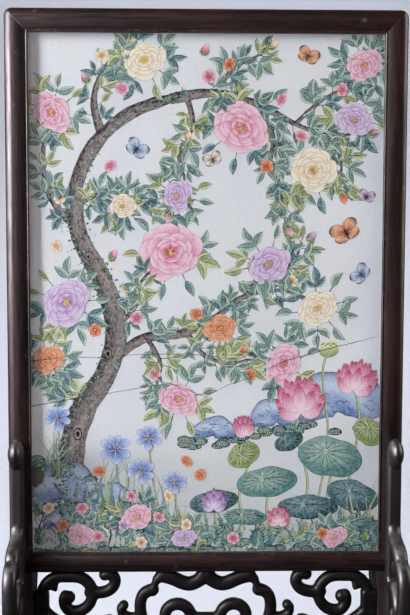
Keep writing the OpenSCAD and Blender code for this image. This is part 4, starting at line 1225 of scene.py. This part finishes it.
for at, tones, heading in BUDS:
    bud(flower_pile, at, BUD_SIZE, tones, heading)
for at in BLOSSOMS:
    blossom(flower_pile, at, BLOSSOM_SIZE, brush.choice((PINK, CREAM, PINK, CORAL)), brush.uniform(0, 3))
print("leaf motifs:", len(leaf_pile), "flower motifs:", len(flower_pile))

# %% [markdown]
# The pond fills the lower right: wide leaves with veins that run out from a pale eye, tall flowers on bristly
# stems, and one seed head, over thin waves.

# %% Lotus pond
pond_pile = []
LOTUS_RIBS = 17


def lotus_leaf(at, wide, high, turn, tones, lift):
    bm = new_sheet()
    place = tilted(at, turn, 1.0)
    eye = Vector((-0.08 * wide, 0.12 * high))
    phase = brush.uniform(0, 6)

    def shape(t):
        return oval_shape(t) * (1 + 0.05 * math.sin(13 * t + phase))

    def paint(t, s):
        from_eye = math.hypot((2 * t - 1) * 0.5 + 0.08, s * 0.5 * oval_shape(t) - 0.12)
        fold = 0.5 + 0.5 * math.sin(8 * math.atan2(s * 0.5 - 0.1, t - 0.42) + phase)
        return between(between(tones["light"], tones["dark"], from_eye * 1.9), tones["dark"], 0.45 * fold)

    line = [(-wide / 2, 0), (-wide / 4, 0), (0, 0), (wide / 4, 0), (wide / 2, 0)]
    inked(bm, line, high, paint, shape, tones["ink"], 0.45, 26, 10, lift, place)
    for k in range(LOTUS_RIBS):
        angle = 2 * math.pi * (k + brush.uniform(-0.15, 0.15)) / LOTUS_RIBS
        rim = Vector((math.cos(angle) * wide * 0.47, math.sin(angle) * high * 0.46))
        rib = bowed(eye, rim, brush.uniform(-0.05, 0.05))
        pen_line(bm, rib, 0.6, tones["vein"], lift + INK_DEPTH, 6, place)
        fork = Vector(rib[len(rib) * 5 // 9])
        for side in (-0.16, 0.16):
            tip = Vector((math.cos(angle + side) * wide * 0.46, math.sin(angle + side) * high * 0.45))
            pen_line(bm, [fork, (fork + tip) / 2, tip], 0.42, tones["vein"], lift + INK_DEPTH, 3, place)
    dab(bm, place(eye), wide * 0.035, tones["light"], lift + 0.03, 10)
    dab(bm, place(eye), wide * 0.018, LEAF_YELLOW["dark"], lift + 0.036, 8)
    dry(bm, pond_pile)


STEM_LIFT = 0.05
PALE_STEM, DARK_STEM, STEM_INK = [LEAF_YELLOW[part] for part in ("light", "dark", "ink")]


def stem(line, wide):
    bm = new_sheet()
    line = smooth_line(line, 8)

    def paint(t, s):
        return between(PALE_STEM, DARK_STEM, 0.5 + 0.5 * s)

    inked(bm, line, wide, paint, lambda t: 1.0, STEM_INK, 0.3, 20, 2, STEM_LIFT)
    for _, spot, side in stations(line, 30)[2:-2]:
        dab(bm, spot + side * brush.uniform(-0.4, 0.4) * wide, 0.32, STEM_INK, STEM_LIFT + INK_DEPTH, 5)
    dry(bm, pond_pile)


WATER = [tint(168, 192, 214), tint(138, 170, 200), tint(190, 208, 220)]
POND_STEMS = [([(96, 190), (104, 240), (92, 290), (96, 318)], 2.2),
              ([(140, 186), (146, 240), (156, 300), (150, 340)], 2.0),
              ([(40, 190), (34, 230), (46, 266), (40, 292)], 1.9),
              ([(122, 186), (124, 226), (130, 258)], 2.0), ([(66, 186), (62, 210), (64, 236)], 2.0),
              ([(158, 180), (160, 200), (154, 214)], 2.0), ([(14, 182), (10, 200), (8, 216)], 1.8),
              ([(108, 190), (124, 280), (118, 350), (124, 376)], 1.7)]
LOTUS_LEAVES = [((62, 240), 62, 30, 0.12, LEAF_BLUE, 0.12), ((150, 226), 54, 30, -0.3, LEAF_TEAL, 0.16),
                ((126, 266), 66, 40, -0.2, LEAF_BLUE, 0.2), ((8, 220), 50, 22, 0.15, LEAF_TEAL, 0.18),
                ((104, 214), 62, 24, 0.0, LEAF_TEAL, 0.24), ((38, 268), 34, 24, 0.5, LEAF_YELLOW, 0.16),
                ((166, 292), 34, 26, -0.6, LEAF_YELLOW, 0.14), ((40, 204), 44, 16, -0.05, LEAF_BLUE, 0.26),
                ((150, 196), 46, 15, 0.05, LEAF_BLUE, 0.26), ((84, 282), 30, 18, 0.4, LEAF_TEAL, 0.14)]
LOTUS_FLOWERS = [((96, 314), 38, PINK, UP + 0.1, 0.3, 1.15), ((150, 336), 32, PINK, UP - 0.25, 0.3, 1.0),
                 ((40, 288), 22, PINK, UP + 0.2, 0.3, 0.55), ((8, 214), 20, LILAC, UP, 0.34, 1.1),
                 ((74, 198), 18, PINK, UP, 0.34, 1.1)]
bm = new_sheet()
for k in range(64):
    x, z = brush.uniform(-60, 168), 172 + 62 * brush.random() ** 1.4
    run = brush.uniform(14, 46)
    x = min(x, 172 - run)
    wave = [(x + run * j / 6, z + 1.5 * math.sin(j * 1.9 + k)) for j in range(7)]
    pen_line(bm, wave, brush.uniform(0.45, 0.9), brush.choice(WATER), 0.03 + 0.003 * (k % 4), 8)
dry(bm, pond_pile)
for line, wide in POND_STEMS:
    stem(line, wide)
for lotus in LOTUS_LEAVES:
    lotus_leaf(*lotus)
for flower in LOTUS_FLOWERS:
    cup(flower_pile, *flower)


def pod_paint(t, s):
    return between(PALE_STEM, DARK_STEM, 0.5 - s * 0.5)


bm = new_sheet()
blade(bm, bowed((114, 374), (134, 377), 0.0), 15, pod_paint, oval_shape, 10, 4, 0.2)
blade(bm, bowed((115, 380), (133, 383), 0.0), 6.4, flat(PALE_STEM), oval_shape, 10, 2, 0.22)
for k in range(9):
    dab(bm, (117 + 1.8 * k, 381.4 + 1.0 * math.sin(k * 2.2)), 0.75, STEM_INK, 0.235, 7)
dry(bm, pond_pile)
print("pond motifs:", len(pond_pile))

# %% [markdown]
# The bank at the left starts as a wash. It fades into the white of the glaze, so its far edge takes the
# colour of the ground. A pen line marks the crest, and dabs of moss soften it.

# %% Bank and moss
bank_pile = []
GROUND = tint(228, 229, 230)
EARTH = palette(dark=(168, 178, 150), ink=(110, 112, 100))
BANK_WASHES = [([(-176, 246), (-140, 232), (-96, 214), (-52, 200), (-14, 184)], 34, 0.02),
               ([(-176, 206), (-120, 198), (-70, 186), (-20, 174)], 22, 0.024)]
BANK_NARROWS = 0.8


def wash_paint(t, s):
    return between(GROUND, EARTH["dark"], 0.25 + 0.6 * s * (1 - 0.7 * t))


bm = new_sheet()
for line, wide, lift in BANK_WASHES:
    blade(bm, smooth_line(line, 5), wide, wash_paint, lambda t: 1 - BANK_NARROWS * t, 24, 6, lift)
    last = len(line) - 1
    crest = [(x, z + wide / 2 * (1 - BANK_NARROWS * k / last)) for k, (x, z) in enumerate(line)]
    pen_line(bm, smooth_line(crest, 6), 0.8, EARTH["ink"], lift + 0.02, 24)
dry(bm, bank_pile)
UPPER_CREST = [(-174, 262), (-140, 250), (-96, 230), (-52, 210), (-14, 190)]
LOWER_CREST = [(-174, 216), (-120, 208), (-70, 192), (-20, 178)]
moss(bank_pile, UPPER_CREST, 420, 2.6, MOSS_TONES, 1.2, 0.1)
moss(bank_pile, LOWER_CREST, 260, 2.2, MOSS_TONES, 1.1, 0.1)
print("bank motifs:", len(bank_pile))

# %% [markdown]
# Blue stones stand in the bank and behind the pond, darker at the rim and hatched like rock. Cushions of
# moss, dark humps with rows of pale scales, lie along every shore.

# %% Stones and cushions of moss
STONE_BLUE = palette(pale=(206, 216, 232), mid=(112, 140, 190), deep=(66, 88, 140), ink=(44, 52, 84))
STONES = [([(-172, 224), (-150, 240), (-128, 236), (-112, 222)], 40, 0.1),
          ([(-118, 214), (-98, 226), (-78, 216)], 27, 0.13),
          ([(-166, 196), (-140, 204), (-116, 196)], 22, 0.16),
          ([(92, 306), (120, 330), (150, 330), (182, 312)], 46, 0.02),
          ([(46, 300), (70, 314), (98, 304)], 27, 0.035), ([(-14, 288), (8, 298), (30, 290)], 20, 0.035)]
SHORES = [([(-20, 280), (20, 282), (60, 290), (110, 296), (174, 290)], 46),
          ([(-172, 262), (-130, 250), (-90, 226), (-50, 206)], 34),
          ([(-172, 214), (-120, 206), (-60, 190), (0, 178)], 34),
          ([(-40, 172), (20, 174), (80, 174), (172, 180)], 40)]
MOSS_HUMPS = ((LEAF_TEAL["dark"], LEAF_BLUE["light"], LEAF_TEAL["ink"]),
              (LEAF_BLUE["dark"], LEAF_YELLOW["light"], LEAF_BLUE["ink"]))


def stone(line, wide, lift, tones=STONE_BLUE):
    bm = new_sheet()
    line = smooth_line(line, 5)
    phase = brush.uniform(0, 6)

    def shape(t):
        return oval_shape(t) * (1 + 0.10 * math.sin(11 * t + phase) + 0.05 * math.sin(23 * t))

    def paint(t, s):
        rim = max(abs(s), abs(2 * t - 1)) ** 3
        body = between(tones["pale"], tones["mid"], 0.35 - 0.45 * s + 0.3 * math.sin(9 * t + 4 * s + phase))
        return between(body, tones["deep"], 0.75 * rim)

    inked(bm, line, wide, paint, shape, tones["ink"], 0.6, 26, 10, lift)
    track = stations(line, 30)
    for _ in range(34):
        share, spot, side = track[brush.randrange(3, 28)]
        half = wide / 2 * shape(share) * 0.84
        root = spot + side * brush.uniform(-half, half)
        tip = root + Vector((brush.uniform(3, 10), brush.uniform(-5, 3)))
        stroke = bowed(root, tip, brush.choice((-0.3, 0.3)))
        pen = brush.uniform(0.5, 0.9)
        pen_line(bm, stroke, pen, brush.choice((tones["deep"], tones["ink"])), lift + INK_DEPTH, 4)
    dry(bm, bank_pile)


def cushion(at, size, lift):
    bm = new_sheet()
    deep, pale, ink = brush.choice(MOSS_HUMPS)
    line = [(at[0] - size / 2, at[1]), (at[0], at[1] + size * 0.06), (at[0] + size / 2, at[1])]

    def paint(t, s):
        return between(deep, ink, 0.3 - 0.4 * s)

    inked(bm, line, size * 0.5, paint, oval_shape, ink, 0.4, 10, 4, lift)
    for row in range(3):
        for k in range(7 - row):
            x = at[0] + size * 0.12 * (k - (6 - row) / 2) + brush.uniform(-0.4, 0.4)
            dab(bm, (x, at[1] + size * (0.11 * row - 0.1)), size * 0.038, pale, lift + INK_DEPTH, 6)
    dry(bm, bank_pile)


for line, wide, lift in STONES:
    stone(line, wide, lift)
for shore, count in SHORES:
    shore_track = stations(smooth_line(shore, 6), 60)
    for k in range(count):
        spot = shore_track[brush.randrange(0, 61)][1]
        at = (spot.x + brush.uniform(-3, 3), spot.y + brush.uniform(-4, 4))
        cushion(at, brush.uniform(9, 17), 0.05 + 0.012 * (k % 6))
print("bank motifs:", len(bank_pile))

# %% [markdown]
# Turf is a painter's sign: short pen strokes along the bank. Ferns are bent ribs with small leaflets in
# pairs, and bare forked twigs with pink buds stand up from the foot.

# %% Turf, ferns and twigs
TURF = [LEAF_TEAL["dark"], LEAF_BLUE["vein"], LEAF_TEAL["vein"], LEAF_BLUE["dark"], LEAF_YELLOW["dark"]]
BANK_LINES = [([(-174, 252), (-140, 240), (-96, 222), (-52, 204), (-14, 186)], 9, 520),
              ([(-174, 232), (-120, 216), (-70, 200), (-20, 182), (20, 176)], 8, 520),
              ([(-174, 208), (-120, 198), (-70, 186), (-10, 176)], 9, 520),
              ([(-174, 184), (-90, 178), (0, 172), (90, 174), (174, 182)], 7, 760),
              ([(120, 176), (150, 184), (174, 198)], 7, 240)]
TWIGS = [((-172, 180), 1.3, 34), ((-148, 176), 1.7, 24), ((-58, 172), 1.4, 26), ((-24, 172), 1.8, 20),
         ((112, 172), 1.5, 28), ((138, 172), 1.2, 24), ((60, 172), 1.6, 22), ((168, 176), 1.9, 40),
         ((16, 172), 1.3, 18), ((-100, 174), 1.5, 22)]
FERNS, FERN_FOOT, BANK_END, TWIG_LIFT, FORK_TURN = 120, 172, -30, 0.2, 0.7


def hatch(line, count, spread, lift):
    bm = new_sheet()
    track = stations(smooth_line(line, 6), 90)
    for k in range(count):
        _, spot, side = track[brush.randrange(0, 91)]
        at = spot + side * brush.uniform(-spread, spread)
        tip = at + Vector((brush.uniform(-1.4, 1.4), 3.2 * brush.uniform(0.5, 1.2)))
        pen_line(bm, [at, tip], brush.uniform(0.5, 0.9), brush.choice(TURF), lift + 0.004 * (k % 6), 2)
    dry(bm, bank_pile)


def fern(at, heading, size, tones, lift):
    bm = new_sheet()
    rib = bowed(at, polar(at, heading, size), brush.uniform(-0.25, 0.25))
    pen_line(bm, rib, 0.6, tones["ink"], lift, 5)
    for share, spot, side in stations(rib, 9)[1:]:
        along = Vector((side.y, -side.x))
        for hand in (-1, 1):
            tip = spot + (side * hand * 0.8 + along * 0.7) * size * 0.3 * (1.1 - share)
            colour = tones["dark"] if hand > 0 else between(tones["light"], tones["dark"], 0.4)
            leaflet = [spot, (spot + tip) / 2, tip]
            inked(bm, leaflet, size * 0.1, flat(colour), leaf_shape, tones["ink"], 0.2, 3, 1, lift + 0.02)
    dry(bm, bank_pile)


def twig(at, heading, size, lift=TWIG_LIFT):
    bm = new_sheet()
    tip = polar(at, heading, size)
    pen_line(bm, bowed(at, tip, brush.uniform(-0.2, 0.2)), 1.5, BARK["dark"], lift, 6, taper=0.5)
    for k in range(4):
        root = Vector(at).lerp(tip, 0.25 + 0.18 * k)
        turned = heading + (FORK_TURN if k % 2 else -FORK_TURN) + brush.uniform(-0.2, 0.2)
        end = polar(root, turned, size * brush.uniform(0.22, 0.42))
        pen_line(bm, bowed(root, end, 0.15), 0.9, BARK["dark"], lift + 0.004, 4, taper=0.5)
        dab(bm, end, 1.1, PINK["mid"], lift + INK_DEPTH, 6)
        dab(bm, polar(end, heading, 1.4), 0.7, PINK["deep"], lift + 0.016, 6)
    dab(bm, tip, 1.2, PINK["mid"], lift + INK_DEPTH, 6)
    dry(bm, bank_pile)


for line, spread, count in BANK_LINES:
    hatch(line, count, spread, 0.07)
for _ in range(FERNS):
    x = brush.uniform(-172, 172)
    z = FERN_FOOT + brush.random() * (62 if x < BANK_END else 14)
    if x < BANK_END:
        z = min(z, FERN_FOOT + (abs(x) - 20) * 0.46)
    heading, size = UP + brush.uniform(-0.8, 0.8), brush.uniform(13, 22)
    fern((x, z), heading, size, brush.choice(GREENS), 0.14 + 0.03 * brush.randrange(4))
for at, heading, size in TWIGS:
    twig(at, heading, size)
print("bank motifs:", len(bank_pile))

# %% [markdown]
# Tufts of grass, blue irises on stems, small blossoms and four low full flowers grow out of the bank. A last
# row of moss and turf closes the picture at the frame.

# %% Grass, irises and low flowers
GRASS = [((-94, 206), 16, 62), ((-60, 196), 12, 50), ((-152, 246), 14, 54), ((-34, 190), 10, 40),
         ((4, 178), 9, 44), ((-118, 190), 10, 36), ((166, 186), 9, 66), ((70, 176), 7, 34)]
IRISES = [((-92, 274), 17), ((-66, 252), 15), ((-58, 286), 14), ((-150, 306), 14), ((-32, 240), 13)]
IRIS_PETALS = ((0.5, 1.0, 0.5), (2.6, 1.0, 0.5), (1.25, 0.9, 0.42), (1.9, 0.9, 0.42), (-0.35, 0.95, 0.52),
               (3.5, 0.95, 0.52), (-1.57, 0.9, 0.6))
LOW_BLOSSOMS = [((-20, 262), CORAL), ((-6, 248), CORAL), ((-38, 226), CREAM), ((-108, 252), CORAL),
                ((-76, 226), PINK), ((-126, 214), PINK), ((-146, 196), CORAL), ((-48, 204), PINK),
                ((-20, 196), CREAM), ((-84, 196), LILAC), ((-160, 214), CREAM), ((-110, 184), PINK),
                ((28, 182), PINK), ((120, 186), CORAL), ((-66, 178), CREAM)]
LOW_FLOWERS = [((-70, 204), 34, PINK, 0.4), ((-128, 186), 30, PINK, -0.3), ((-22, 182), 26, LILAC, 0.2),
               ((132, 182), 28, PINK, 0.6)]
LOW_LIFT, LOW_COLLAR, TURF_FOOT, TURF_CUSHIONS = 0.34, 8, 168.5, 64


def grass(at, count, reach, lean=0.5):
    bm = new_sheet()
    for k in range(count):
        heading = UP + brush.uniform(-lean, lean)
        tip = polar(at, heading, reach * brush.uniform(0.6, 1.1))
        line = bowed((at[0] + brush.uniform(-5, 5), at[1]), tip, brush.uniform(-0.22, 0.22))
        tones = brush.choice((LEAF_BLUE, LEAF_YELLOW, LEAF_TEAL))

        def paint(t, s):
            return between(tones["dark"], tones["light"], t)

        inked(bm, line, brush.uniform(1.6, 3.2), paint, lambda t: (1 - t) ** 0.7, tones["ink"], 0.22, 8, 1,
              0.15 + 0.012 * (k % 6))
    dry(bm, bank_pile)


def iris(at, size, tones=BLUE, lift=0.3):
    bm = new_sheet()
    for angle, reach, broad in IRIS_PETALS:
        line = bowed(at, polar(at, angle, size * reach), brush.uniform(-0.15, 0.15))
        inked(bm, line, size * broad, petal_paint(tones, 0.3), petal_shape, tones["ink"], 0.25, 8, 4, lift)
        pen_line(bm, [at, polar(at, angle, size * reach * 0.5)], 1.0, YELLOW, lift + 0.008, 3)
        lift += 0.02
    dry(bm, flower_pile)


for at, count, reach in GRASS:
    grass(at, count, reach)
for at, size in IRISES:
    stem([(at[0] + 6, at[1] - 56), (at[0] + 2, at[1] - 26), at], 1.5)
    iris(at, size)
for at, tones in LOW_BLOSSOMS:
    blossom(flower_pile, at, 13, tones, brush.uniform(0, 3), LOW_LIFT, 6)
for at, size, tones, turn in LOW_FLOWERS:
    bm = new_sheet()
    for k in range(LOW_COLLAR):
        heading = turn + 2 * math.pi * k / LOW_COLLAR
        cluster(bm, polar(at, heading, size * 0.3), heading, 14, brush.choice(GREENS), 0.24 + 0.03 * (k % 3))
    dry(bm, leaf_pile)
    rosette(flower_pile, at, size, tones, turn, 0.75, LOW_LIFT)
for k in range(TURF_CUSHIONS):
    at = (brush.uniform(-172, 172), TURF_FOOT + brush.uniform(-2, 2))
    cushion(at, brush.uniform(9, 15), 0.27 + 0.012 * (k % 5))
hatch([(-174, TURF_FOOT), (0, TURF_FOOT - 1), (174, TURF_FOOT)], 420, 3, 0.3)
print("bank motifs:", len(bank_pile), "flower motifs:", len(flower_pile))

# %% [markdown]
# Butterflies fill the open air between the boughs. Each has four wings with a dark rim, veins and spots.

# %% Butterflies
wing_pile = []
WINGS = ((-0.75, 0.72, 0.62), (0.62, 1.0, 0.66))
BUTTERFLIES = [((140, 494), 36, 0.5, CORAL), ((6, 566), 22, 0.4, CREAM), ((156, 452), 26, 0.9, BLUE),
               ((-70, 576), 28, -0.6, BLUE), ((100, 668), 26, -0.4, CORAL), ((160, 530), 20, -0.3, LILAC)]


def butterfly(at, size, turn, tones, squash=0.8, lift=0.2):
    bm = new_sheet()
    place = tilted(at, turn, squash)
    for side in (1, -1):
        for angle, reach, broad in WINGS:
            heading = angle if side > 0 else math.pi - angle
            line = bowed(CENTRE, polar(CENTRE, heading, size / 2 * reach), 0.12 * side)

            def paint(t, s):
                body = between(tones["deep"], tones["pale"], t * 1.7)
                return between(body, INK, (t - 0.7) * 4 if t > 0.7 else 0.0)

            inked(bm, line, size * broad * 0.62, paint, petal_shape, INK, 0.3, 10, 4, lift, place)
            for k in (-2, -1, 0, 1, 2):
                far = polar(CENTRE, heading + k * 0.17, size / 2 * reach * 0.78)
                pen_line(bm, [CENTRE, far / 2, far], 0.35, INK, lift + 0.01, 3, place)
                spot = place(polar(CENTRE, heading + k * 0.19, size / 2 * reach * 0.88))
                dab(bm, spot, size * 0.018, tones["pale"], lift + 0.014, 6)
            lift += 0.025
    pen_line(bm, [(0, size * 0.16), (0, 0), (0, -size * 0.26)], size * 0.07, INK, lift, 6, place)
    for side in (-1, 1):
        feeler = bowed((0, size * 0.14), (side * size * 0.2, size * 0.4), 0.15 * side)
        pen_line(bm, feeler, 0.4, INK, lift, 5, place)
    dry(bm, wing_pile)


for at, size, turn, tones in BUTTERFLIES:
    butterfly(at, size, turn, tones)
print("butterflies:", len(wing_pile))

# %% [markdown]
# The motifs of each group are joined into one piece and trimmed at the frame's opening. The enamel finish
# reads the colour attribute; noise thins the colour here and there, as a brush does, and gives a soft relief.

# %% Enamel finish and pieces
THIN_PAINT, GRIT_SHADE, THIN_SHARE, GRIT_SHARE = (0.78, 0.79, 0.80, 1), (0.55, 0.55, 0.55, 1), 0.2, 0.18
enamel, tree, shader = new_material("enamel")
place = object_place(tree)
paint_colour = add_node(tree, "ShaderNodeAttribute", attribute_name="paint").outputs["Color"]
wash = noise(tree, place, 420.0, 4.0, Roughness=0.6)
grit = noise(tree, place, 1900.0, 2.0)
shown = mix_colour(tree, times(tree, step_up(tree, wash, 0.42, 0.75), THIN_SHARE), paint_colour, THIN_PAINT)
gritty = mix_colour(tree, 1.0, paint_colour, GRIT_SHADE, "MULTIPLY")
shown = mix_colour(tree, times(tree, step_up(tree, grit, 0.5, 0.7), GRIT_SHARE), shown, gritty)
tree.links.new(cracked(tree, place, shown), shader.inputs["Base Color"])
tree.links.new(plus(tree, times(tree, wash, 0.2), 0.18), shader.inputs["Roughness"])
shader.inputs["Coat Weight"].default_value = 0.3
relief(tree, shader, wash, 0.2, 0.15)
OPENING = [((-176.2, 0, 0), (-1, 0, 0)), ((176.2, 0, 0), (1, 0, 0)), ((0, 0, 168.3), (0, 0, -1)),
           ((0, 0, 689.7), (0, 0, 1))]
DOUBLES_REACH = 2e-6


def enamel_piece(name, pile):
    bm = new_sheet()
    for mesh in pile:
        bm.from_mesh(mesh)
        bpy.data.meshes.remove(mesh)
    bmesh.ops.remove_doubles(bm, verts=bm.verts, dist=DOUBLES_REACH)
    for point, outward in OPENING:
        cut_away(bm, Vector(point) * MM, outward)
    for face in bm.faces:
        face.normal_update()
    bmesh.ops.reverse_faces(bm, faces=[f for f in bm.faces if f.normal.y > 0])
    piece = link_mesh(name, bm, enamel, smooth=False)
    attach(piece, "screen")
    print(name, "faces:", len(piece.data.polygons))


PILES = {"enamel_bank": bank_pile, "enamel_pond": pond_pile, "enamel_tree": tree_pile,
         "enamel_leaves": leaf_pile, "enamel_flowers": flower_pile, "enamel_butterflies": wing_pile}
for name, pile in PILES.items():
    enamel_piece(name, pile)
